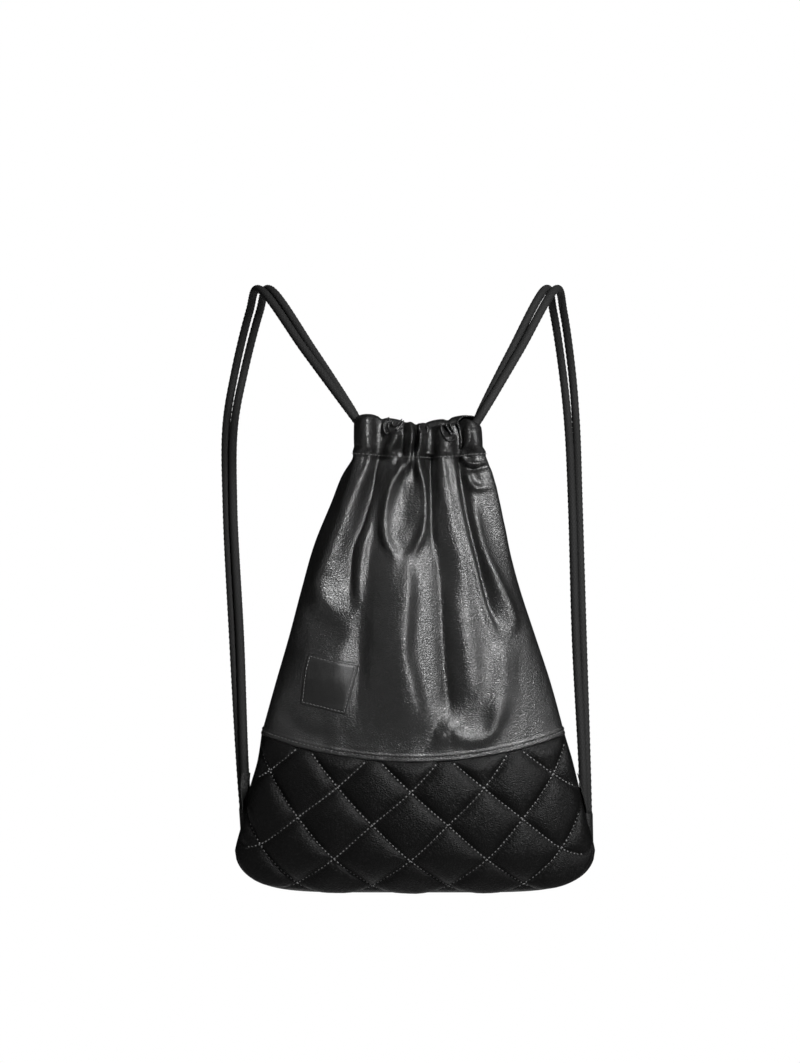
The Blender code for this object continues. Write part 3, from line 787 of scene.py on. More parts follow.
@dataclass
class Stitching:
    """A thread sewn along lines on a surface, as short raised stitches."""

    pitch: float = 0.0044
    length: float = 0.0032
    thickness: float = 0.0009
    rise: float = 0.0003
    sides: int = 6
    rings: int = 4
    mesh: bmesh.types.BMesh = field(default_factory=bmesh.new)

    def read(self, values: np.ndarray, lengths: np.ndarray, at: float) -> Vector:
        """Reads rows of places or directions at a length along their line."""
        return Vector([float(np.interp(at, lengths, values[:, axis])) for axis in range(3)])

    def sew(self, line: np.ndarray, outward: np.ndarray) -> None:
        """Adds one run of stitches.

        Args:
            line: close-set places on the surface, a row each.
            outward: the surface's direction at each place.
        """
        lengths = np.concatenate([[0.0], np.cumsum(np.linalg.norm(np.diff(line, axis=0), axis=1))])
        count = int(lengths[-1] / self.pitch)
        part = bmesh.new()
        for index in range(count):
            middle = (index + 0.5) * lengths[-1] / count
            before = self.read(line, lengths, middle - self.length / 2)
            way = (self.read(line, lengths, middle + self.length / 2) - before).normalized()
            up = self.read(outward, lengths, middle).normalized()
            side = way.cross(up).normalized()
            up = side.cross(way)
            turn = Matrix((side * self.thickness, up * self.thickness, way * self.length)).transposed().to_4x4()
            turn.translation = self.read(line, lengths, middle) + up * self.rise
            bmesh.ops.create_uvsphere(part, u_segments=self.sides, v_segments=self.rings, radius=0.5, matrix=turn)
        data = bpy.data.meshes.new("run")
        part.to_mesh(data)
        part.free()
        self.mesh.from_mesh(data)
        bpy.data.meshes.remove(data)

    def finish(self, name: str) -> bpy.types.Object:
        """Makes all the runs one object.

        Args:
            name: its name.

        Returns:
            The new object.
        """
        data = bpy.data.meshes.new(name)
        self.mesh.to_mesh(data)
        self.mesh.free()
        data.shade_smooth()
        return add_object(name, data)


# ---------------------------------------------------------------------------------------------------------
# Finishes


class Signal:
    """A shader value: sums and products of it add Math nodes."""

    def __init__(self, graph: "Graph", socket: bpy.types.NodeSocket) -> None:
        """Wraps an output socket of a graph."""
        self.graph = graph
        self.socket = socket

    def math(self, operation: str, *values: object) -> "Signal":
        """Adds one Math node on numbers or signals."""
        return self.graph.node("ShaderNodeMath", {"operation": operation}, dict(enumerate(values)))

    def __add__(self, other: object) -> "Signal":
        """Adds."""
        return self.math("ADD", self, other)

    def __radd__(self, other: object) -> "Signal":
        """Adds, the number first."""
        return self.math("ADD", other, self)

    def __sub__(self, other: object) -> "Signal":
        """Subtracts."""
        return self.math("SUBTRACT", self, other)

    def __rsub__(self, other: object) -> "Signal":
        """Subtracts from a number."""
        return self.math("SUBTRACT", other, self)

    def __mul__(self, other: object) -> "Signal":
        """Multiplies."""
        return self.math("MULTIPLY", self, other)

    def __rmul__(self, other: object) -> "Signal":
        """Multiplies, the number first."""
        return self.math("MULTIPLY", other, self)

    def __truediv__(self, other: object) -> "Signal":
        """Divides."""
        return self.math("DIVIDE", self, other)

    def clamp(self) -> "Signal":
        """Holds the value from 0 to 1."""
        return self.graph.node("ShaderNodeClamp", {}, {"Value": self})

    def ramp(self, low: float, high: float) -> "Signal":
        """Goes softly from 0 to 1.

        Args:
            low: the value where it is 0.
            high: the value where it is 1.

        Returns:
            The share as a signal.
        """
        settings = {"interpolation_type": "SMOOTHSTEP", "clamp": True}
        return self.graph.node(
            "ShaderNodeMapRange", settings, {"Value": self, "From Min": low, "From Max": high}
        )

    def away(self, middle: float) -> "Signal":
        """Gives the distance from a middle value."""
        return self.math("ABSOLUTE", self - middle)


class Graph:
    """The node tree of one material, or of the world."""

    def __init__(self, owner: bpy.types.ID, surface: str = "Principled BSDF") -> None:
        """Starts from a new material's or world's own tree and its surface node.

        Args:
            owner: the new material or world.
            surface: the name of its surface node.
        """
        owner.use_nodes = True
        self.owner = owner
        self.tree = owner.node_tree
        self.surface = self.tree.nodes[surface]

    def node(self, kind: str, settings: dict, inputs: dict, output: object = 0) -> Signal:
        """Adds a node.

        Args:
            kind: the node's type.
            settings: its own settings, set first.
            inputs: values or signals for its sockets, by name or number.
            output: the socket that is handed back, by name or number.

        Returns:
            The output as a signal.
        """
        made = self.tree.nodes.new(kind)
        for name, value in settings.items():
            setattr(made, name, value)
        for name, value in inputs.items():
            self.feed(made.inputs[name], value)
        return Signal(self, made.outputs[output])

    def feed(self, socket: bpy.types.NodeSocket, value: object) -> None:
        """Links a signal to a socket, or sets its value.

        Args:
            socket: the input socket.
            value: a signal or a plain value.
        """
        if isinstance(value, Signal):
            self.tree.links.new(value.socket, socket)
        else:
            socket.default_value = value

    def dress(self, **values: object) -> None:
        """Links signals to the surface's own sockets, and sets plain values on them."""
        for name, value in values.items():
            self.feed(self.surface.inputs[name.replace("_", " ").title().replace("Ior", "IOR")], value)

    def warp(self, place: Signal, scale: float, reach: float) -> Signal:
        """Shifts coordinates by smooth noise, so that a pattern laid on them is less even.

        Args:
            place: the coordinates.
            scale: how fine the noise is.
            reach: how far they are shifted.

        Returns:
            The shifted coordinates.
        """
        drift = self.node("ShaderNodeTexNoise", {}, {"Vector": place, "Scale": scale, "Detail": 1.0}, 1)
        shift = self.node(
            "ShaderNodeVectorMath", {"operation": "SUBTRACT"}, {0: drift, 1: (0.5, 0.5, 0.5)}
        )
        return self.node(
            "ShaderNodeVectorMath", {"operation": "MULTIPLY_ADD"}, {0: shift, 1: (reach,) * 3, 2: place}
        )

    def place(self, output: str = "Object") -> Signal:
        """Gives the coordinates that patterns are laid on."""
        return self.node("ShaderNodeTexCoord", {}, {}, output)

    def stretch(self, place: Signal, scale: tuple[float, float, float]) -> Signal:
        """Scales coordinates."""
        return self.node("ShaderNodeMapping", {}, {"Vector": place, "Scale": scale})

    def parts(self, place: Signal) -> tuple[Signal, Signal]:
        """Gives the first two numbers of coordinates."""
        first = self.node("ShaderNodeSeparateXYZ", {}, {0: place})
        return first, Signal(self, first.socket.node.outputs[1])

    def cloud(self, place: Signal, scale: float, detail: float = 2.0, distortion: float = 0.0) -> Signal:
        """Adds a noise pattern from 0 to 1."""
        given = {"Vector": place, "Scale": scale, "Detail": detail, "Distortion": distortion}
        return self.node("ShaderNodeTexNoise", {}, given)

    def cells(self, place: Signal, scale: float) -> Signal:
        """Adds a pattern of cells, as the distance from their edges."""
        settings = {"feature": "DISTANCE_TO_EDGE"}
        return self.node("ShaderNodeTexVoronoi", settings, {"Vector": place, "Scale": scale}, "Distance")

    def colour_mix(self, share: Signal, low: object, high: object) -> Signal:
        """Mixes two colours through a Mix node's colour sockets."""
        return self.node("ShaderNodeMix", {"data_type": "RGBA"}, {0: share, 6: low, 7: high}, 2)

    def bump(self, height: Signal, distance: float, strength: float, below: Optional[Signal] = None) -> Signal:
        """Adds a Bump node, on top of another where one is given.

        Args:
            height: the relief.
            distance: the relief's full height.
            strength: how much of it shows.
            below: the normal under it.

        Returns:
            The bumped normal.
        """
        given = {"Height": height, "Distance": distance, "Strength": strength}
        if below is not None:
            given["Normal"] = below
        return self.node("ShaderNodeBump", {}, given)


def grey(tone: float, warmth: float = 0.0) -> tuple[float, float, float, float]:
    """Gives a near-grey colour."""
    return (tone * (1 + warmth), tone, tone * (1 - warmth), 1.0)


@dataclass(frozen=True)
class Leather:
    """Pebbled faux leather, its grain drawn out across the bag."""

    name: str
    tone: float = 0.0028
    light: float = 0.0052
    roughness: float = 0.30
    roughness_span: float = 0.10
    gap_roughness: float = 0.14
    gap_tone: float = 0.4
    gloss: float = 0.5
    pebble: float = 0.0030
    stretch: float = 1.9
    warp_scale: float = 240.0
    warp_reach: float = 0.0022
    gap_width: float = 0.36
    fine_gap_width: float = 0.38
    fine_count: float = 2.1
    fine_share: float = 0.3
    pebble_depth: float = 0.00036
    pebble_strength: float = 0.80
    wrinkle_depth: float = 0.0010
    wrinkle_scale: float = 70.0
    wrinkle_strength: float = 0.13
    mottle_scale: float = 38.0
    wide_scale: float = 11.0

    def relief(self, graph: Graph, place: Signal) -> tuple[Signal, Signal]:
        """Lays the grain.

        Args:
            graph: the material's graph.
            place: object coordinates.

        Returns:
            The pebbles from 0 to 1, and the bumped normal.
        """
        drawn = graph.stretch(place, (1.0, 1.0, self.stretch))
        warped = graph.warp(drawn, self.warp_scale, self.warp_reach)
        edge = graph.cells(warped, 1 / self.pebble)
        fine = graph.cells(warped, self.fine_count / self.pebble)
        dome = edge.ramp(0.0, self.gap_width) * (1 - self.fine_share)
        dome = dome + fine.ramp(0.0, self.fine_gap_width) * self.fine_share
        swell = graph.cloud(drawn, 0.5 / self.pebble, 2.0)
        wrinkle = graph.cloud(drawn, self.wrinkle_scale, 3.0, 0.4)
        bump = graph.bump(wrinkle, self.wrinkle_depth, self.wrinkle_strength)
        return dome, graph.bump(dome + swell * 0.8, self.pebble_depth, self.pebble_strength, bump)

    def material(self) -> bpy.types.Material:
        """Builds the material.

        Returns:
            The material.
        """
        graph = Graph(bpy.data.materials.new(self.name))
        place = graph.place()
        dome, bump = self.relief(graph, place)
        mottle = graph.cloud(place, self.mottle_scale, 4.0)
        wide = graph.cloud(place, self.wide_scale, 3.0)
        tone = graph.colour_mix(
            (mottle * 0.6 + wide * 0.6 - 0.1).clamp(), grey(self.tone), grey(self.light, 0.01)
        )
        tone = graph.colour_mix(1 - dome, tone, grey(self.tone * self.gap_tone))
        rough = self.roughness + (mottle - 0.5) * self.roughness_span + (1 - dome) * self.gap_roughness
        self.finish(graph, dome, tone, rough, bump)
        return graph.owner

    def finish(self, graph: Graph, dome: Signal, tone: Signal, rough: Signal, bump: Signal) -> None:
        """Feeds the surface."""
        graph.dress(base_color=tone, roughness=rough.clamp(), normal=bump, specular_ior_level=self.gloss)


@dataclass(frozen=True)
class QuiltedLeather(Leather):
    """The same leather where it is quilted: crimped along the stitch lines, with painted shade in the stitch holes."""

    quilting: Quilting = Quilting()
    stitch: float = 0.0040
    crimp_depth: float = 0.0009
    crimp_reach: float = 0.0016
    crimp_strength: float = 0.7
    # Painted shade in the stitch holes: where it is full, how far it reaches, and its near-black tone.
    shaded_hole_inside: float = 0.0003
    shaded_hole_reach: float = 0.0011
    hole_shade_tone: float = 0.001

    def finish(self, graph: Graph, dome: Signal, tone: Signal, rough: Signal, bump: Signal) -> None:
        """Adds the crimps, and painted shade in the stitch holes, before feeding the surface.

        Args:
            graph: the material's graph.
            dome: the pebbles from 0 to 1.
            tone: the colour.
            rough: the roughness.
            bump: the bumped normal.
        """
        u, v = graph.parts(graph.place("UV"))
        quilting = self.quilting
        back = v.math("GREATER_THAN", v, 0.5)
        along = (u - 0.5) * FORM.base_width + back * (quilting.width * quilting.back_shift)
        down = (1 - (v * 2 - 1).away(0.0)) * FORM.base_fabric
        rising, falling = quilting.cells(along, down)
        waves = 2 * math.pi * quilting.diagonal / self.stitch
        crimps, shaded_hole_lines = [], []
        for cell, other in ((rising, falling), (falling, rising)):
            distance = (cell - cell.math("ROUND", cell)).away(0.0) * quilting.spacing
            wave = other.math("COSINE", other * waves) * 0.5 + 0.5
            crimps.append(wave * distance.math("EXPONENT", distance * (-1 / self.crimp_reach)))
            # Painted shade: a dark dot at each stitch hole along the line.
            shaded_hole_lines.append(wave * (1 - distance.ramp(self.shaded_hole_inside, self.shaded_hole_reach)))
        crimp = crimps[0] + crimps[1]
        shaded_holes = (shaded_hole_lines[0] + shaded_hole_lines[1]).clamp()
        # The stitch holes' painted shade darkens the colour towards a near-black tone.
        tone = graph.colour_mix(shaded_holes * 0.8, tone, grey(self.hole_shade_tone))
        bump = graph.bump(crimp, self.crimp_depth, self.crimp_strength, bump)
        super().finish(graph, dome, tone, rough + shaded_holes * 0.3, bump)


@dataclass(frozen=True)
class Braid:
    """Braided cord, on a map whose first way runs along it and second round it."""

    name: str
    turns: float
    strands: int = 8
    dark: float = 0.0015
    pale: float = 0.0075
    roughness: float = 0.72
    gloss: float = 0.2
    relief: float = 0.0004
    wool_scale: float = 2600.0
    patch_scale: float = 120.0

    def material(self) -> bpy.types.Material:
        """Builds the material.

        Returns:
            The material.
        """
        graph = Graph(bpy.data.materials.new(self.name))
        along, around = graph.parts(graph.place("UV"))
        right = along * self.turns + around * self.strands
        left = along * self.turns - around * self.strands
        weave = right.math("PINGPONG", right, 0.5) * 2.0 * (left.math("PINGPONG", left, 0.5) * 2.0)
        wool = graph.cloud(graph.stretch(graph.place(), (1.0, 1.0, 0.35)), self.wool_scale, 3.0)
        patch = graph.cloud(graph.place(), self.patch_scale, 3.0)
        tone = graph.colour_mix(
            (weave * 0.9 + (wool - 0.5) * 0.9 + (patch - 0.5) * 0.3).clamp(), grey(self.dark), grey(self.pale)
        )
        bump = graph.bump(weave + wool * 0.5, self.relief, 0.8)
        rough = (self.roughness + wool * 0.2).clamp()
        graph.dress(base_color=tone, roughness=rough, normal=bump, specular_ior_level=self.gloss)
        return graph.owner


@dataclass(frozen=True)
class Thread:
    """Sewing thread, black, given a mid-grey tone as a painted highlight so that the stitches show as light dots."""

    name: str = "thread"
    # Painted highlight: the dark thread's tone is raised to a mid grey so its stitches read as light dots.
    tone: float = 0.085
    roughness: float = 0.42
    relief: float = 0.00008
    twist_scale: float = 900.0
    fuzz_scale: float = 3000.0

    def material(self) -> bpy.types.Material:
        """Builds the material.

        Returns:
            The material.
        """
        graph = Graph(bpy.data.materials.new(self.name))
        twist = graph.node(
            "ShaderNodeTexWave", {"wave_type": "BANDS", "bands_direction": "DIAGONAL"},
            {"Vector": graph.place(), "Scale": self.twist_scale}, 1,
        )
        fuzz = graph.cloud(graph.place(), self.fuzz_scale, 2.0)
        tone = graph.colour_mix((twist * 0.7 + fuzz * 0.3).clamp(), grey(self.tone * 0.6), grey(self.tone * 1.3))
        rough = (self.roughness + fuzz * 0.2).clamp()
        graph.dress(base_color=tone, roughness=rough, normal=graph.bump(twist, self.relief, 0.6))
        return graph.owner


@dataclass(frozen=True)
class Plaster:
    """The studio floor."""

    name: str = "studio_floor"
    tone: float = 0.80
    roughness: float = 0.9

    def material(self) -> bpy.types.Material:
        """Builds the material.

        Returns:
            The material.
        """
        graph = Graph(bpy.data.materials.new(self.name))
        cloud = graph.cloud(graph.place(), 1.5, 3.0)
        tone = graph.colour_mix(cloud, grey(self.tone * 0.97), grey(self.tone))
        graph.dress(base_color=tone, roughness=self.roughness)
        return graph.owner


# ---------------------------------------------------------------------------------------------------------
# Pieces


@dataclass(frozen=True)
class Tunnel:
    """One half of the ruffled cord tunnel round the mouth; the panel's leather runs on over it."""

    name: str
    node: str
    face: Face
    relief: Relief
    stations: int = 240
    rings: int = 52
    height: float = 0.040
    leather: float = 0.0016
    depth: float = 0.017
    hem_thickness: float = 0.0048
    opens: float = 0.20
    swell: float = 0.0008
    side_gap: float = 0.026
    roll: float = 0.0065
    ruffles: int = 5
    ruffle_depth: float = 0.003
    stitch_height: float = 0.0026
    narrow: float = 0.75
    narrow_reach: float = 0.010
    outer_share: float = 0.46
    over_share: float = 0.14
    inner_share: float = 0.40
    groove: float = 0.0002
    groove_reach: float = 0.0012
    stitch_proud: float = 0.0008
    tops: tuple[tuple[float, float], ...] = (
        (-61, 39.5), (-55, 39.8), (-45, 39.2), (-37, 37.5), (-33, 35.0), (-28, 36.0), (-20, 35.2), (-13, 33.4),
        (-9, 31.6), (-4, 32.0), (1, 29.6), (7, 31.2), (12, 30.2), (15, 27.0), (19, 28.2), (26, 28.8), (34, 30.6),
        (39, 31.0), (42, 29.0), (47, 33.4), (54, 34.8), (60, 33.4), (66, 32.0),
    )

    def top(self, x: np.ndarray) -> np.ndarray:
        """Gives the height of the tunnel's top edge across the mouth.

        Args:
            x: places across.

        Returns:
            The heights.
        """
        mirror = 1.0 if self.face is Face.FRONT else -1.0
        table = sorted((mirror * place * MM, up * MM) for place, up in self.tops)
        return read_curve([row[0] for row in table], [row[1] for row in table], x)

    def wall(self, turn: np.ndarray, ring: np.ndarray, over: object = 0.0) -> tuple[np.ndarray, np.ndarray]:
        """Gives places on the tunnel's outer skin.

        Args:
            turn: where round the mouth.
            ring: 0 at the outer side's hem, over the top, to 1 at the inner side's hem.
            over: how far outside the skin the places are.

        Returns:
            Places in the object's frame, and the mouth's plain outward directions.
        """
        oval = FORM.upper_oval(np.ones_like(turn))
        plain, outward = oval.point(turn, self.face)
        across = oval.across(plain[:, 0])
        foot = FORM.hem_z(across)
        top = self.top(plain[:, 0])
        rising, falling = ring < self.outer_share, ring > 1 - self.inner_share
        bend = np.clip((ring - self.outer_share) / self.over_share, 0.0, 1.0) * math.pi
        rise = np.where(rising, ring / self.outer_share, np.where(falling, (1 - ring) / self.inner_share, 1.0))
        inward = (1 - np.cos(bend)) / 2
        z = mix(foot, top - self.roll, rise) + self.roll * np.sin(bend)
        fade = oval.fade(turn)
        lift = self.relief.lift(plain[:, 0], z) * fade
        ruffle = 0.5 + 0.5 * np.cos(2 * math.pi * self.ruffles * (across - 0.5))
        full = lift + self.depth + self.ruffle_depth * ruffle * fade
        opened = mix(self.hem_thickness, full, ease(rise / self.opens))
        swell = self.swell * np.sin(math.pi * np.clip(rise, 0, 1)) * (1 - inward) * fade
        off_stitches = (z - foot - self.stitch_height) / self.groove_reach
        groove = self.groove * np.exp(-(off_stitches**2)) * (1 - inward)
        narrow = mix(1.0, 1.0 - self.narrow, ease((z - foot) / self.narrow_reach))
        way = outward * np.stack([narrow, np.ones_like(z), narrow], axis=1)
        places = plain + way * (lift + swell - groove)[:, None] - outward * (inward * opened)[:, None]
        places += outward * (over * np.cos(bend))[:, None]
        places[:, 2] = z + over * np.sin(bend)
        return FORM.set_place(places), outward

    def first_turn(self) -> float:
        """Finds where the half stops and the side gap for the cords begins.

        Returns:
            The turn where it stops.
        """
        oval = FORM.upper_oval(np.ones(1))
        depth = float((oval.front if self.face is Face.FRONT else oval.back)[0])
        deep, power = self.side_gap / 2 / depth, float(oval.power[0])
        return math.atan2(deep, (1 - deep**power) ** (1 / power)) / math.pi

    def build(self, finish: bpy.types.Material) -> bpy.types.Object:
        """Models and dresses the half.

        Args:
            finish: the finish that it gets.

        Returns:
            The new object.
        """
        first = self.first_turn()

        def place(u: np.ndarray, v: np.ndarray) -> np.ndarray:
            """Gives the outer skin's places."""
            return self.wall(mix(first, 1 - first, u), v)[0]

        piece = grid_piece(self.name, self.stations, self.rings, place, flip=self.face is Face.BACK)
        thicken(piece, self.leather, -1)
        return fit_out(piece, finish, "leather", self.node)

    def skin(self, x: np.ndarray, z: np.ndarray) -> np.ndarray:
        """Gives the depth of the outer skin at places across and up, in the bag's own frame.

        Args:
            x: places across.
            z: places up from the hem line.

        Returns:
            The depths.
        """
        oval = FORM.upper_oval(np.ones_like(x))
        turn = oval.turn(x)
        foot = FORM.hem_z(oval.across(x))
        rise = np.clip((z - foot) / (self.top(x) - self.roll - foot), 0.0, 1.0)
        places, _ = self.wall(turn, rise * self.outer_share)
        return places[:, 1] - FORM.place[1]

    def stitch_line(self, count: int = 400) -> tuple[np.ndarray, np.ndarray]:
        """Gives the line of the hem's stitches on the outer side.

        Args:
            count: how many places are read.

        Returns:
            Places in the object's frame, and outward directions.
        """
        first = self.first_turn()
        turn = np.linspace(first, 1 - first, count)
        rise = self.stitch_height / (self.height - self.roll)
        return self.wall(turn, np.full(count, rise * self.outer_share), self.stitch_proud)


@dataclass(frozen=True)
class UpperPanel:
    """The plain leather panel of one side, sewn to the base, gathered, and led on over the tunnel."""

    name: str
    node: str
    face: Face
    relief: Relief
    columns: int
    rows: int
    tunnel: Tunnel
    leather: float = 0.0016
    welt_height: float = 0.0068
    welt_rise: float = 0.0011
    groove: float = 0.0007
    overlap: float = 0.0012
    overlap_reach: float = 0.004
    over_rows: int = 66
    over_ring: float = 0.64
    crowd: float = 0.45
    proud: float = 0.0003
    over_proud: float = 0.0006
    join_rate: float = 16.0
    proud_rate: float = 12.0
    welt_edge: float = 0.0016
    groove_reach: float = 0.0009
    fold_reach: float = 0.0014
    stitch_share: float = 0.45
    round_share: float = 0.55
    flat_size: tuple[float, float] = (0.31, 0.345)

    def turn(self, share: np.ndarray) -> np.ndarray:
        """Spaces the columns so that neither the face nor the sides are coarse."""
        return mix(share, np.arccos(np.clip(1 - 2 * share, -1, 1)) / math.pi, self.round_share)

    def welt(self, above: np.ndarray) -> np.ndarray:
        """Gives the rise of the folded, topstitched edge.

        Args:
            above: distances above the seam.

        Returns:
            The rise at each distance.
        """
        strip = ease((self.welt_height - above) / self.welt_edge)
        line = np.exp(-(((above - self.welt_height * self.stitch_share) / self.groove_reach) ** 2))
        edge = ease((self.fold_reach - above) / self.fold_reach)
        return self.welt_rise * strip - self.groove * line - self.groove * edge

    def surface(self, turn: np.ndarray, height: np.ndarray) -> tuple[np.ndarray, np.ndarray]:
        """Gives places on the outside of the panel and its plain outward directions.

        Args:
            turn: 0 at the left side seam to 1 at the right.
            height: 0 at the seam to 1 at the hem.

        Returns:
            Places in the object's frame, and directions.
        """
        oval = FORM.upper_oval(height)
        places, outward = oval.point(turn, self.face)
        across = oval.across(places[:, 0])
        seam, hem = FORM.seam_z(across), FORM.hem_z(across)
        z = mix(seam, hem, height)
        lift = self.relief.lift(places[:, 0], z) * oval.fade(turn) + self.welt(z - seam)
        places = places + outward * lift[:, None]
        places[:, 2] = z
        return FORM.set_place(places), outward

    def at(self, x: np.ndarray, z: np.ndarray) -> tuple[np.ndarray, np.ndarray]:
        """Gives places on the panel for plain places across and up, in the bag's own frame.

        Args:
            x: places across.
            z: places up from the hem line.

        Returns:
            Places in the object's frame, and outward directions.
        """
        height = 1 + z / FORM.upper_height
        for _ in range(5):
            oval = FORM.upper_oval(height)
            across = np.clip(oval.across(x), 0.0, 1.0)
            seam, hem = FORM.seam_z(across), FORM.hem_z(across)
            height = (z - seam) / (hem - seam)
        oval = FORM.upper_oval(height)
        return self.surface(oval.turn(x), height)

    def build(self, finish: bpy.types.Material) -> bpy.types.Object:
        """Models and dresses the panel.

        Args:
            finish: the finish that it gets.

        Returns:
            The new object.
        """
        rows = self.rows + self.over_rows
        split = self.rows / rows
        first = self.tunnel.first_turn()

        def place(u: np.ndarray, v: np.ndarray) -> np.ndarray:
            """Gives the leather's places.

            Args:
                u: shares along the grid's first way.
                v: shares along its second way.

            Returns:
                The places in the object's frame.
            """
            turn, share = self.turn(u), np.minimum(v / split, 1.0)
            height = share - self.crowd * np.sin(2 * math.pi * share) / (2 * math.pi)
            places, outward = self.surface(turn, height)
            places[:, 2] -= self.overlap * (1 - ease(height * FORM.upper_height / self.overlap_reach))
            ring = np.clip((v - split) / (1 - split), 0.0, 1.0) * self.over_ring
            held = mix(turn, mix(first, 1 - first, turn), ease(ring * self.join_rate))
            over, _ = self.tunnel.wall(held, ring, self.over_proud * ease(ring * self.proud_rate))
            places = np.where((v > split)[:, None], over, places)
            places[:, 1] += self.face.value * self.proud
            return places

        piece = grid_piece(self.name, self.columns, rows, place, flip=self.face is Face.BACK)
        thicken(piece, self.leather, -1)
        fit_out(piece, finish, "leather", self.node)
        return piece

    def seam_line(self, above: float, count: int = 500) -> tuple[np.ndarray, np.ndarray]:
        """Gives a line at a distance above the seam, for stitches.

        Args:
            above: the distance above the seam.
            count: how many places are read.

        Returns:
            Places in the object's frame, and outward directions.
        """
        turn = np.linspace(0.03, 0.97, count)
        oval = FORM.upper_oval(np.zeros(count))
        plain, _ = oval.point(turn, self.face)
        across = oval.across(plain[:, 0])
        height = above / (FORM.hem_z(across) - FORM.seam_z(across))
        return self.surface(turn, height)


@dataclass(frozen=True)
class Curl:
    """One curled edge of leather in the tunnel's mouth, led along a line in millimetres."""

    points: tuple[tuple[float, float], ...]
    proud: float


@dataclass(frozen=True)
class Curls:
    """The leather's curled edges where the tunnel is drawn together."""

    tunnel: Tunnel
    half_thickness: float = 0.00095
    steps: int = 14
    sides: int = 20
    boxy: float = 0.6
    sunk: float = 6.0
    taper: float = 0.004
    even: int = 17
    rows: tuple[Curl, ...] = (
        Curl(((-24.8, 37.0), (-27.6, 34.6), (-29.8, 30.6), (-30.0, 25.0), (-27.6, 20.8), (-25.2, 22.6)), proud=6.0),
        Curl(((-23.4, 35.6), (-25.2, 31.8), (-25.8, 27.6), (-24.6, 24.6)), proud=3.5),
        Curl(((-20.6, 34.6), (-21.9, 31.4), (-21.0, 28.6), (-18.6, 28.2), (-15.8, 30.6), (-12.6, 35.2)), proud=6.0),
        Curl(((-19.0, 23.4), (-16.6, 25.6), (-13.8, 29.0), (-10.8, 34.0)), proud=5.0),
        Curl(((-17.4, 22.6), (-14.4, 24.6), (-11.2, 27.6)), proud=3.5),
        Curl(((3.8, 29.6), (4.6, 23.4), (7.4, 20.2), (10.6, 20.6), (12.2, 25.0), (10.8, 29.6)), proud=3.0),
        Curl(((24.4, 30.4), (25.6, 24.0), (28.4, 17.6), (33.0, 13.6), (37.4, 15.0), (39.6, 20.0)), proud=4.5),
        Curl(((28.4, 30.6), (31.8, 25.6), (35.6, 18.8)), proud=5.5),
        Curl(((33.0, 31.0), (34.8, 27.6), (37.6, 22.0)), proud=4.5),
        Curl(((40.2, 31.6), (41.8, 28.6), (43.4, 22.0), (44.4, 14.0), (43.4, 6.0)), proud=4.0),
    )

    def build(self, finish: bpy.types.Material) -> list[bpy.types.Object]:
        """Models and dresses every curl as its own rounded fold, standing out from the tunnel's skin."""
        return [self.fold(index, curl, finish) for index, curl in enumerate(self.rows)]

    def fold(self, index: int, curl: Curl, finish: bpy.types.Material) -> bpy.types.Object:
        """Models one fold, closed and tapered at both ends.

        Args:
            index: its number.
            curl: its line, and how far it stands out.
            finish: the finish that it gets.

        Returns:
            The new object.
        """
        line = even_line(smooth_line(curl.points, self.steps), self.steps * len(curl.points)) * MM
        skin = self.tunnel.skin(line[:, 0], line[:, 1])
        front = np.convolve(np.pad(skin, self.even // 2, "edge"), np.ones(self.even) / self.even, "valid")
        ways = np.gradient(line, axis=0)
        ways /= np.linalg.norm(ways, axis=1)[:, None]
        last, length = len(line) - 1, line_length(line)
        middle, half = (curl.proud - self.sunk) / 2 * MM, (curl.proud + self.sunk) / 2 * MM

        def place(u: np.ndarray, v: np.ndarray) -> np.ndarray:
            """Gives the fold's places.

            Args:
                u: shares along the grid's first way.
                v: shares along its second way.

            Returns:
                The places in the object's frame.
            """
            row = np.rint(u * last).astype(int)
            full = round_end(u, length, self.taper)
            aside, deep = np.cos(2 * math.pi * v), np.sin(2 * math.pi * v)
            aside = np.sign(aside) * np.abs(aside) ** self.boxy * self.half_thickness * full
            deep = np.sign(deep) * np.abs(deep) ** self.boxy * half * full
            y = front[row] + self.tunnel.face.value * (middle + deep)
            x, z = line[row, 0] + ways[row, 1] * aside, line[row, 1] - ways[row, 0] * aside
            return FORM.set_place(np.stack([x, y, z], axis=1))

        piece = grid_piece(f"curled_edge_{index}", last, self.sides, place, weld=True)
        return fit_out(piece, finish, "leather")


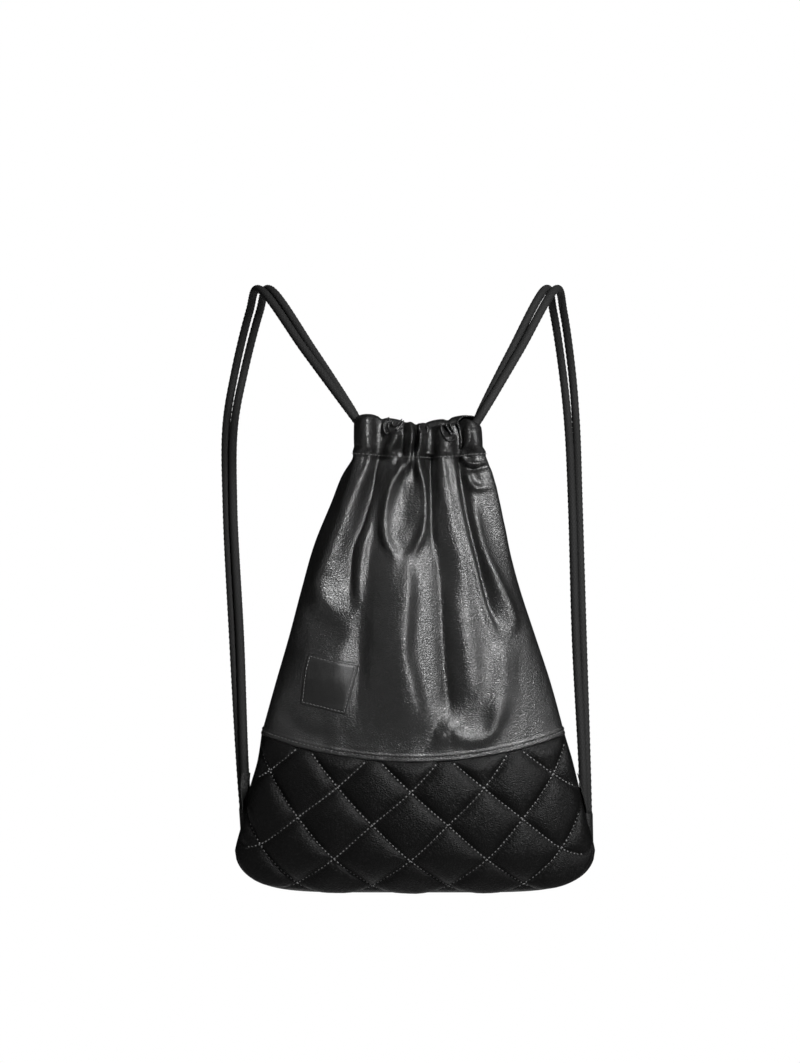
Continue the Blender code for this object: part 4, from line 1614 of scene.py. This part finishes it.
@dataclass(frozen=True)
class Pouch:
    """The padded, quilted base, front and back in one."""

    name: str = "quilted_pouch"
    node: str = "quilted_base"
    quilting: Quilting = Quilting()
    columns: int = 260
    rows: int = 110
    wall: float = 0.0030
    tuck: float = 0.0006
    edge: float = 0.0110
    edge_curve: float = 0.6
    tuck_reach: float = 0.006
    bottom_reach: float = 0.012
    under_from: float = 0.62
    under_lean: float = 0.9
    under_less: float = 0.25
    side_reach: float = 0.35
    samples: int = 96
    hem: float = 0.012
    fewest: int = 12
    first_stitch: float = 0.003

    def shift(self, face: Face) -> float:
        """Gives how far the pattern is moved along the fabric on a face."""
        return 0.0 if face is Face.FRONT else self.quilting.width * self.quilting.back_shift

    def turn(self, oval: Oval, face: Face, shares: np.ndarray) -> np.ndarray:
        """Finds the turns at given shares of the length along one side of each place's outline.

        Args:
            oval: the outlines.
            face: the front or the back.
            shares: shares of the length along the side.

        Returns:
            The turns.
        """
        steps = np.linspace(0.0, 1.0, self.samples + 1)
        rows = len(shares)
        wide = Oval(*(np.repeat(getattr(oval, name), self.samples + 1) for name in
                      ("left", "right", "front", "back", "power")))
        places, _ = wide.point(np.tile(steps, rows), face)
        places = places.reshape(rows, self.samples + 1, 3)
        lengths = np.linalg.norm(np.diff(places, axis=1), axis=2)
        past = np.concatenate([np.zeros((rows, 1)), np.cumsum(lengths, axis=1)], axis=1)
        wanted = shares * past[:, -1]
        index = np.clip((past[:, 1:] < wanted[:, None]).sum(axis=1), 0, self.samples - 1)
        row = np.arange(rows)
        along = (wanted - past[row, index]) / np.maximum(past[row, index + 1] - past[row, index], 1e-12)
        return (index + np.clip(along, 0.0, 1.0)) / self.samples

    def surface(self, along: np.ndarray, down: np.ndarray, face: Face) -> tuple[np.ndarray, np.ndarray]:
        """Gives places on the outside of the base.

        Args:
            along: places across the fabric from its middle, in metres.
            down: places down the fabric from the seam, in metres.
            face: the front or the back.

        Returns:
            Places in the object's frame, and plain outward directions.
        """
        height = down / FORM.base_fabric
        oval = FORM.base_oval(height)
        turn = self.turn(oval, face, along / FORM.base_width + 0.5)
        places, outward = oval.point(turn, face)
        across = oval.across(places[:, 0])
        fall = FORM.read(FORM.base, "fall", height)
        z = mix(FORM.seam_z(across), FORM.bottom_z(across), fall)
        fade = (down / self.edge).clip(0, 1) ** self.edge_curve * ease((FORM.base_fabric - down) / self.bottom_reach)
        fade = fade * side_fade(turn, self.side_reach)
        under = ease((height - self.under_from) / (1 - self.under_from))
        lean = np.stack([np.zeros_like(z), np.zeros_like(z), -under * self.under_lean], axis=1)
        way = outward * (1 - self.under_less * under)[:, None] + lean
        pattern = along + self.shift(face)
        places = places + way * (self.quilting.rise(pattern, down) * fade)[:, None]
        places[:, 1] -= face.value * self.tuck * (1 - ease(down / self.tuck_reach))
        places[:, 2] += z
        return FORM.set_place(places), outward

    def build(self, finish: bpy.types.Material) -> bpy.types.Object:
        """Models and dresses the pouch: both faces from one grid, closed at its sides and bottom.

        Args:
            finish: the finish that it gets.

        Returns:
            The new object.
        """

        def place(u: np.ndarray, v: np.ndarray) -> np.ndarray:
            """Gives the fabric's places, front and back.

            Args:
                u: shares along the grid's first way.
                v: shares along its second way.

            Returns:
                The places in the object's frame.
            """
            down = (1 - np.abs(2 * v - 1)) * FORM.base_fabric
            along = (u - 0.5) * FORM.base_width
            front, _ = self.surface(along, down, Face.FRONT)
            back, _ = self.surface(along, down, Face.BACK)
            return np.where((v <= 0.5)[:, None], front, back)

        piece = grid_piece(self.name, self.columns, self.rows * 2, place, flip=True, weld=True)
        thicken(piece, self.wall, -1)
        fit_out(piece, finish, "quilting", self.node)
        return piece

    def sew(self, stitching: Stitching, face: Face) -> None:
        """Sews the quilting's stitch lines on one face.

        Args:
            stitching: the thread to sew with.
            face: the front or the back.
        """
        half = FORM.base_width / 2 - self.hem
        for line in self.quilting.lines(half, FORM.base_fabric - self.hem):
            line = line[line[:, 1] > self.first_stitch]
            along = line[:, 0] - self.shift(face)
            inside = np.abs(along) < half
            if inside.sum() >= self.fewest:
                stitching.sew(*self.surface(along[inside], line[inside, 1], face))


@dataclass(frozen=True)
class Patch:
    """The small stitched patch low on the front, left bare."""

    panel: UpperPanel
    width: float = 0.046
    height: float = 0.050
    thickness: float = 0.0013
    centre: tuple[float, float] = (-0.0829, -0.2196)
    tilt: float = math.radians(13)
    corner: float = 0.0022
    margin: float = 0.0024
    dip: float = 0.00045
    dip_reach: float = 0.0011
    edge_share: float = 0.35
    edge_reach: float = 0.0012
    stitch_sunk: float = 0.0005
    columns: int = 72
    rows: int = 78

    def spot(self, aside: np.ndarray, above: np.ndarray, lift: float) -> tuple[np.ndarray, np.ndarray]:
        """Gives places on the patch for distances from its middle.

        Args:
            aside: distances across.
            above: distances up.
            lift: how far outside the panel they are.

        Returns:
            Places in the object's frame, and outward directions.
        """
        x = self.centre[0] + aside * math.cos(self.tilt) + above * math.sin(self.tilt)
        z = self.centre[1] + above * math.cos(self.tilt) - aside * math.sin(self.tilt)
        places, outward = self.panel.at(x, z)
        return places + outward * lift, outward

    def build(self, finish: bpy.types.Material) -> bpy.types.Object:
        """Models and dresses the patch.

        Args:
            finish: the finish that it gets.

        Returns:
            The new object.
        """

        def place(u: np.ndarray, v: np.ndarray) -> np.ndarray:
            """Gives the patch's places, its corners rounded.

            Args:
                u: shares along the grid's first way.
                v: shares along its second way.

            Returns:
                The places in the object's frame.
            """
            aside, above = (u - 0.5) * self.width, (v - 0.5) * self.height
            reach_x = np.maximum(np.abs(aside) - (self.width / 2 - self.corner), 0.0)
            reach_z = np.maximum(np.abs(above) - (self.height / 2 - self.corner), 0.0)
            reach = np.maximum(np.hypot(reach_x, reach_z), 1e-9)
            pull = np.minimum(1.0, self.corner / reach)
            aside = np.sign(aside) * (np.abs(aside) - reach_x * (1 - pull))
            above = np.sign(above) * (np.abs(above) - reach_z * (1 - pull))
            edge = np.minimum(self.width / 2 - np.abs(aside), self.height / 2 - np.abs(above))
            dip = self.dip * np.exp(-(((edge - self.margin) / self.dip_reach) ** 2))
            lift = self.thickness * mix(self.edge_share, 1.0, ease(edge / self.edge_reach)) - dip
            places, outward = self.spot(aside, above, 0.0)
            return places + outward * lift[:, None]

        piece = grid_piece("side_patch", self.columns, self.rows, place)
        thicken(piece, self.thickness, -1)
        return fit_out(piece, finish, "patch", "patch")

    def sew(self, stitching: Stitching) -> None:
        """Sews the patch's edge.

        Args:
            stitching: the thread to sew with.
        """
        proud = self.thickness - self.stitch_sunk
        half_w, half_h = self.width / 2 - self.margin, self.height / 2 - self.margin
        corners = ((-half_w, half_h), (half_w, half_h), (half_w, -half_h), (-half_w, -half_h), (-half_w, half_h))
        for (x0, z0), (x1, z1) in zip(corners, corners[1:]):
            share = np.linspace(0.0, 1.0, 60)
            places, outward = self.spot(mix(x0, x1, share), mix(z0, z1, share), proud)
            stitching.sew(places, outward)


@dataclass(frozen=True)
class CornerTab:
    """The leather strip at a lower corner that holds the cord's ends."""

    name: str
    node: str
    side: Side
    lean: float
    behind: float
    facing: float
    width: float = 0.0090
    thickness: float = 0.0030
    length: float = 0.038
    seat: float = 0.60
    clearance: float = 0.0003
    edge: float = 0.0008

    def build(self, finish: bpy.types.Material) -> bpy.types.Object:
        """Models and dresses the strip.

        Args:
            finish: the finish that it gets.

        Returns:
            The new object.
        """
        oval = FORM.base_oval(np.array([self.seat]))
        side = float(self.side.value)
        seam_x = side * float((oval.right if side > 0 else oval.left)[0])
        across = np.array([0.0 if side < 0 else 1.0])
        fall = FORM.read(FORM.base, "fall", np.array([self.seat]))
        seat = float(mix(FORM.seam_z(across), FORM.bottom_z(across), fall)[0])
        foot = np.array([seam_x + side * (self.thickness / 2 + self.clearance), 0.0, seat])
        head = foot + np.array([-side * self.lean, self.behind, self.length])

        def place(u: np.ndarray, v: np.ndarray) -> np.ndarray:
            """Gives the strip's places.

            Args:
                u: shares along the grid's first way.
                v: shares along its second way.

            Returns:
                The places in the object's frame.
            """
            twist = mix(math.pi / 2, self.facing, ease(v))
            reach = (u - 0.5) * self.width
            centre = foot + (head - foot) * v[:, None]
            aside = np.stack([np.cos(twist) * reach, np.sin(twist) * reach, np.zeros_like(u)], axis=1)
            return FORM.set_place(centre + aside)

        piece = grid_piece(self.name, 10, 48, place)
        thicken(piece, self.thickness, 0)
        soft = piece.modifiers.new("edge", "BEVEL")
        soft.width, soft.segments, soft.limit_method = self.edge, 3, "ANGLE"
        return fit_out(piece, finish, "leather", self.node)


@dataclass(frozen=True)
class CordSleeve:
    """The leather sleeve that holds both ends of a cord against the side seam."""

    name: str
    foot: tuple[float, float, float]
    head: tuple[float, float, float]
    half_width: float = 0.0066
    half_depth: float = 0.0086
    rounding: float = 0.0035
    rings: int = 40
    sides: int = 36

    def build(self, finish: bpy.types.Material) -> bpy.types.Object:
        """Models and dresses the sleeve, closed at both ends.

        Args:
            finish: the finish that it gets.

        Returns:
            The new object.
        """
        foot, way = np.array(self.foot), np.array(self.head) - np.array(self.foot)
        length = float(np.linalg.norm(way))

        def place(u: np.ndarray, v: np.ndarray) -> np.ndarray:
            """Gives the sleeve's places.

            Args:
                u: shares along the grid's first way.
                v: shares along its second way.

            Returns:
                The places in the object's frame.
            """
            full = round_end(u, length, self.rounding)
            aside, deep = np.cos(2 * math.pi * v) * full, np.sin(2 * math.pi * v) * full
            across = np.stack([aside * self.half_width, deep * self.half_depth, np.zeros_like(u)], axis=1)
            return foot + way * u[:, None] + across

        piece = grid_piece(self.name, self.rings, self.sides, place, flip=True, weld=True)
        return fit_out(piece, finish, "leather")


@dataclass(frozen=True)
class RunPoint:
    """A place on the middle of a doubled cord, and the way from there to its outer run."""

    x: float
    y: float
    z: float
    apart_x: float
    apart_y: float


@dataclass(frozen=True)
class Drawcord:
    """One braided cord: corner, under the arm, over the shoulder, round the mouth and back to its corner.

    The half loop leads through the front of the tunnel to its far end; the way back mirrors it.
    """

    name: str
    node: str
    run: tuple[RunPoint, ...]
    half_loop: tuple[tuple[float, float, float], ...]
    diameter: float = 0.008
    step: float = 0.0011
    sides: int = 28
    strands: int = 8
    braid_pitch: float = 0.0031
    relief: float = 0.00034
    rounding: float = 0.003
    crown: float = 0.7

    def path(self) -> np.ndarray:
        """Gives the cord's centreline at even steps.

        Returns:
            The places, a row each.
        """
        outer = [(row.x + row.apart_x, row.y + row.apart_y, row.z) for row in self.run]
        inner = [(row.x - row.apart_x, row.y - row.apart_y, row.z) for row in self.run]
        way_back = [(x, 2 * FORM.place[1] - y, z) for x, y, z in reversed(self.half_loop[:-1])]
        line = smooth_line([*outer, *self.half_loop, *way_back, *reversed(inner)], 24)
        return even_line(line, int(line_length(line) / self.step) + 1)

    def frames(self, path: np.ndarray) -> tuple[np.ndarray, np.ndarray]:
        """Gives two directions square to the path at each place, without needless twist.

        Args:
            path: the centreline.

        Returns:
            The two directions at each place.
        """
        ways = np.gradient(path, axis=0)
        ways /= np.linalg.norm(ways, axis=1)[:, None]
        side = np.cross(ways[0], (0.0, 1.0, 0.0))
        sides = []
        for way in ways:
            side = side - way * side.dot(way)
            side = side / np.linalg.norm(side)
            sides.append(side)
        sides = np.array(sides)
        return sides, np.cross(ways, sides)

    def build(self) -> bpy.types.Object:
        """Models and dresses the cord.

        Returns:
            The new object.
        """
        path = self.path()
        length = line_length(path)
        first, second = self.frames(path)
        rings = len(path) - 1
        turns = length / self.braid_pitch / 2

        def place(u: np.ndarray, v: np.ndarray) -> np.ndarray:
            """Gives the braided skin's places.

            Args:
                u: shares along the grid's first way.
                v: shares along its second way.

            Returns:
                The places in the object's frame.
            """
            index = np.rint(u * rings).astype(int)
            angle = 2 * math.pi * v
            right = np.abs(np.cos(math.pi * (u * turns + v * self.strands)))
            left = np.abs(np.cos(math.pi * (u * turns - v * self.strands)))
            over = right * left
            radius = self.diameter / 2 - self.relief + 2 * self.relief * over**self.crown
            radius = radius * round_end(u, length, self.rounding)
            aside = first[index] * np.cos(angle)[:, None] + second[index] * np.sin(angle)[:, None]
            return path[index] + aside * radius[:, None]

        piece = grid_piece(self.name, rings, self.sides, place, flip=True, weld=True)
        finish = Braid(self.name + "_braid", turns, self.strands).material()
        fit_out(piece, finish, "cord", self.node)
        LOG.info("%s: %.3f m long", self.name, length)
        return piece


LEFT_CORD = Drawcord(
    "left_drawcord", "left_cord",
    run=(
        RunPoint(-0.1630, -0.0965, -0.533, -0.0020, 0.0036),
        RunPoint(-0.1680, -0.0900, -0.472, -0.0022, 0.0038),
        RunPoint(-0.1770, -0.0290, -0.347, -0.0036, 0.0030),
        RunPoint(-0.1875, 0.0440, -0.212, -0.0036, 0.0030),
        RunPoint(-0.1895, 0.0920, -0.128, -0.0042, 0.0020),
        RunPoint(-0.1810, 0.1050, -0.075, -0.0048, 0.0008),
        RunPoint(-0.1640, 0.0700, -0.015, -0.0052, 0.0000),
        RunPoint(-0.1500, 0.0000, 0.004, -0.0052, 0.0000),
        RunPoint(-0.1035, -0.0620, -0.0615, -0.0040, -0.0028),
        RunPoint(-0.0640, -0.1040, -0.119, -0.0014, -0.0046),
    ),
    half_loop=(
        (-0.0535, -0.1115, -0.1345), (-0.0460, -0.1195, -0.1412), (-0.0180, -0.1230, -0.1426),
        (-0.0095, -0.1262, -0.1439), (-0.0020, -0.1275, -0.1470), (0.0055, -0.1262, -0.1501),
        (0.0140, -0.1230, -0.1514), (0.0430, -0.1228, -0.1514), (0.0560, -0.1175, -0.1514),
        (0.0612, -0.1050, -0.1514),
    ),
)

RIGHT_CORD = Drawcord(
    "right_drawcord", "right_cord",
    run=(
        RunPoint(0.1672, -0.0965, -0.538, 0.0020, 0.0036),
        RunPoint(0.1660, -0.0860, -0.472, 0.0022, 0.0038),
        RunPoint(0.1643, -0.0200, -0.347, 0.0036, 0.0030),
        RunPoint(0.1638, 0.0440, -0.214, 0.0036, 0.0030),
        RunPoint(0.1630, 0.0920, -0.130, 0.0042, 0.0020),
        RunPoint(0.1590, 0.1050, -0.077, 0.0048, 0.0008),
        RunPoint(0.1480, 0.0700, -0.015, 0.0052, 0.0000),
        RunPoint(0.1362, 0.0000, 0.004, 0.0052, 0.0000),
        RunPoint(0.0985, -0.0620, -0.0620, 0.0040, -0.0028),
        RunPoint(0.0665, -0.1040, -0.120, 0.0014, -0.0046),
    ),
    half_loop=(
        (0.0585, -0.1115, -0.1345), (0.0515, -0.1195, -0.1412), (0.0140, -0.1230, -0.1426),
        (0.0055, -0.1198, -0.1439), (-0.0020, -0.1185, -0.1470), (-0.0095, -0.1198, -0.1501),
        (-0.0180, -0.1230, -0.1514), (-0.0360, -0.1228, -0.1514), (-0.0490, -0.1175, -0.1514),
        (-0.0540, -0.1050, -0.1514),
    ),
)


# ---------------------------------------------------------------------------------------------------------
# Studio


@dataclass(frozen=True)
class SoftBox:
    """A studio light: where it stands, what it is aimed at, its size and its power."""

    name: str
    place: tuple[float, float, float]
    width: float
    height: float
    power: float
    target: tuple[float, float, float]
    spread: float

    def build(self) -> None:
        """Adds the light."""
        lamp = bpy.data.lights.new(self.name, "AREA")
        lamp.shape = "RECTANGLE"
        lamp.size, lamp.size_y, lamp.energy = self.width, self.height, self.power
        lamp.spread = math.radians(self.spread)
        item = add_object(self.name, lamp)
        item.location = self.place
        item.rotation_euler = (Vector(self.target) - Vector(self.place)).to_track_quat("-Z", "Y").to_euler()


@dataclass(frozen=True)
class Studio:
    """Camera, lights, floor and surroundings."""

    camera_place: tuple[float, float, float] = (-0.01457, -3.305, -0.2388)
    lens: float = 111.55
    floor_z: float = -1.40
    floor_radius: float = 3.1
    backdrop: float = 1.0
    surround: float = 0.010
    lights: tuple[SoftBox, ...] = (
        SoftBox("key_box", (1.05, -2.0, 0.80), 0.50, 0.70, 13.0, (0.02, -0.12, -0.18), 44.0),
        SoftBox("left_box", (-2.1, -1.1, 0.4), 0.5, 1.3, 3.0, (0.0, -0.12, -0.25), 100.0),
        SoftBox("right_box", (1.9, -0.6, 0.6), 0.6, 1.4, 7.0, (0.0, -0.12, -0.25), 100.0),
        SoftBox("top_box", (0.0, -0.6, 1.5), 1.2, 0.5, 2.2, (0.0, -0.12, -0.30), 100.0),
        SoftBox("back_box", (0.0, 2.2, -0.38), 0.28, 0.50, 8.0, (0.0, -0.08, -0.36), 70.0),
        SoftBox("floor_wash", (0.0, 0.0, -0.72), 6.2, 6.2, 70.0, (0.0, 0.001, -1.30), 180.0),
    )

    def set_camera(self) -> None:
        """Stands the camera where the photograph was taken from."""
        lens = bpy.data.cameras.new("camera")
        lens.lens, lens.sensor_width, lens.sensor_fit = self.lens, 36.0, "AUTO"
        camera = add_object("camera", lens)
        camera.location = self.camera_place
        camera.rotation_euler = (math.pi / 2, 0.0, 0.0)
        bpy.context.scene.camera = camera

    def set_world(self) -> None:
        """Gives the scene a pale backdrop and a dimmer surround for reflections."""
        world = bpy.data.worlds.new("studio")
        bpy.context.scene.world = world
        graph = Graph(world, "Background")
        graph.dress(color=grey(1.0), strength=self.surround)
        backdrop = graph.node("ShaderNodeBackground", {}, {"Color": grey(1.0), "Strength": self.backdrop})
        seen = graph.node("ShaderNodeLightPath", {}, {}, "Is Camera Ray")
        surround = Signal(graph, graph.surface.outputs[0])
        chosen = graph.node("ShaderNodeMixShader", {}, {0: seen, 1: surround, 2: backdrop})
        graph.feed(graph.tree.nodes["World Output"].inputs["Surface"], chosen)

    def set_floor(self) -> None:
        """Lays the plain pale floor."""
        mesh = bmesh.new()
        lowered = Matrix.Translation((0.0, 0.0, self.floor_z))
        bmesh.ops.create_circle(mesh, cap_ends=True, segments=96, radius=self.floor_radius, matrix=lowered)
        data = bpy.data.meshes.new("floor")
        mesh.to_mesh(data)
        mesh.free()
        floor = add_object("floor", data)
        floor.data.materials.append(Plaster().material())

    def build(self) -> None:
        """Sets up everything round the object."""
        self.set_camera()
        self.set_world()
        self.set_floor()
        for light in self.lights:
            light.build()
        view = bpy.context.scene.view_settings
        view.view_transform, view.look = "Standard", "None"


# ---------------------------------------------------------------------------------------------------------


def main() -> None:
    """Builds every piece in order."""
    logging.basicConfig(level=logging.INFO, format="%(message)s")
    density = 1.0
    Studio().build()
    for cord in (LEFT_CORD, RIGHT_CORD):
        cord.build()

    panel_leather = Leather("panel_leather").material()
    # Painted shade: the quilted base is the same leather as the panels, given a darker tone and less gloss because the
    # light falls off low on the bag.
    shaded_quilt_leather = QuiltedLeather(
        "shaded_quilt_leather", tone=0.0014, light=0.0024, roughness=0.36, gloss=0.09
    ).material()
    patch_leather = Leather(
        "patch_leather", tone=0.004, light=0.007, roughness=0.40, gloss=0.35, pebble=0.0013, pebble_depth=0.00008
    ).material()
    strip_leather = Leather("strip_leather", tone=0.003, light=0.005, roughness=0.5, gloss=0.15).material()
    thread = Thread().material()

    front_relief = Relief(FRONT_FOLDS, Face.FRONT)
    back_relief = Relief(BACK_FOLDS, Face.BACK, pleats=20)
    front_tunnel = Tunnel("front_ruffle", "front_casing", Face.FRONT, front_relief)
    back_tunnel = Tunnel("back_ruffle", "back_casing", Face.BACK, back_relief)
    front = UpperPanel(
        "front_leather", "front_panel", Face.FRONT, front_relief, int(196 * density), int(170 * density),
        tunnel=front_tunnel,
    )
    back = UpperPanel(
        "back_leather", "back_panel", Face.BACK, back_relief, int(160 * density), int(130 * density),
        tunnel=back_tunnel,
    )
    front.build(panel_leather)
    back.build(panel_leather)

    front_tunnel.build(panel_leather)
    back_tunnel.build(panel_leather)
    Curls(front_tunnel).build(panel_leather)

    pouch = Pouch()
    pouch.build(shaded_quilt_leather)
    quilt_thread = Stitching(pitch=0.0040, length=0.0022, thickness=0.0015, rise=0.0002)
    for face in Face:
        pouch.sew(quilt_thread, face)
    fit_out(quilt_thread.finish("quilt_stitches"), thread, "quilting")

    top_thread = Stitching(pitch=0.0040, length=0.0030, thickness=0.0007)
    for panel, tunnel in ((front, front_tunnel), (back, back_tunnel)):
        top_thread.sew(*panel.seam_line(panel.welt_height * panel.stitch_share))
        top_thread.sew(*tunnel.stitch_line())
    fit_out(top_thread.finish("seam_stitches"), thread, "leather")

    patch = Patch(front)
    patch.build(patch_leather)
    patch_thread = Stitching(pitch=0.0034, length=0.0025, thickness=0.0006)
    patch.sew(patch_thread)
    fit_out(patch_thread.finish("patch_stitches"), thread, "patch")

    CornerTab("left_strip", "left_tab", Side.LEFT, 0.0030, 0.0070, 0.0).build(strip_leather)
    CornerTab("right_strip", "right_tab", Side.RIGHT, 0.0090, 0.0040, math.pi / 2).build(strip_leather)
    CordSleeve("left_sleeve", (-0.1625, -0.0980, -0.543), (-0.1652, -0.0940, -0.506)).build(strip_leather)
    CordSleeve("right_sleeve", (0.1672, -0.0980, -0.547), (0.1668, -0.0925, -0.511)).build(strip_leather)


if __name__ == "__main__":
    main()
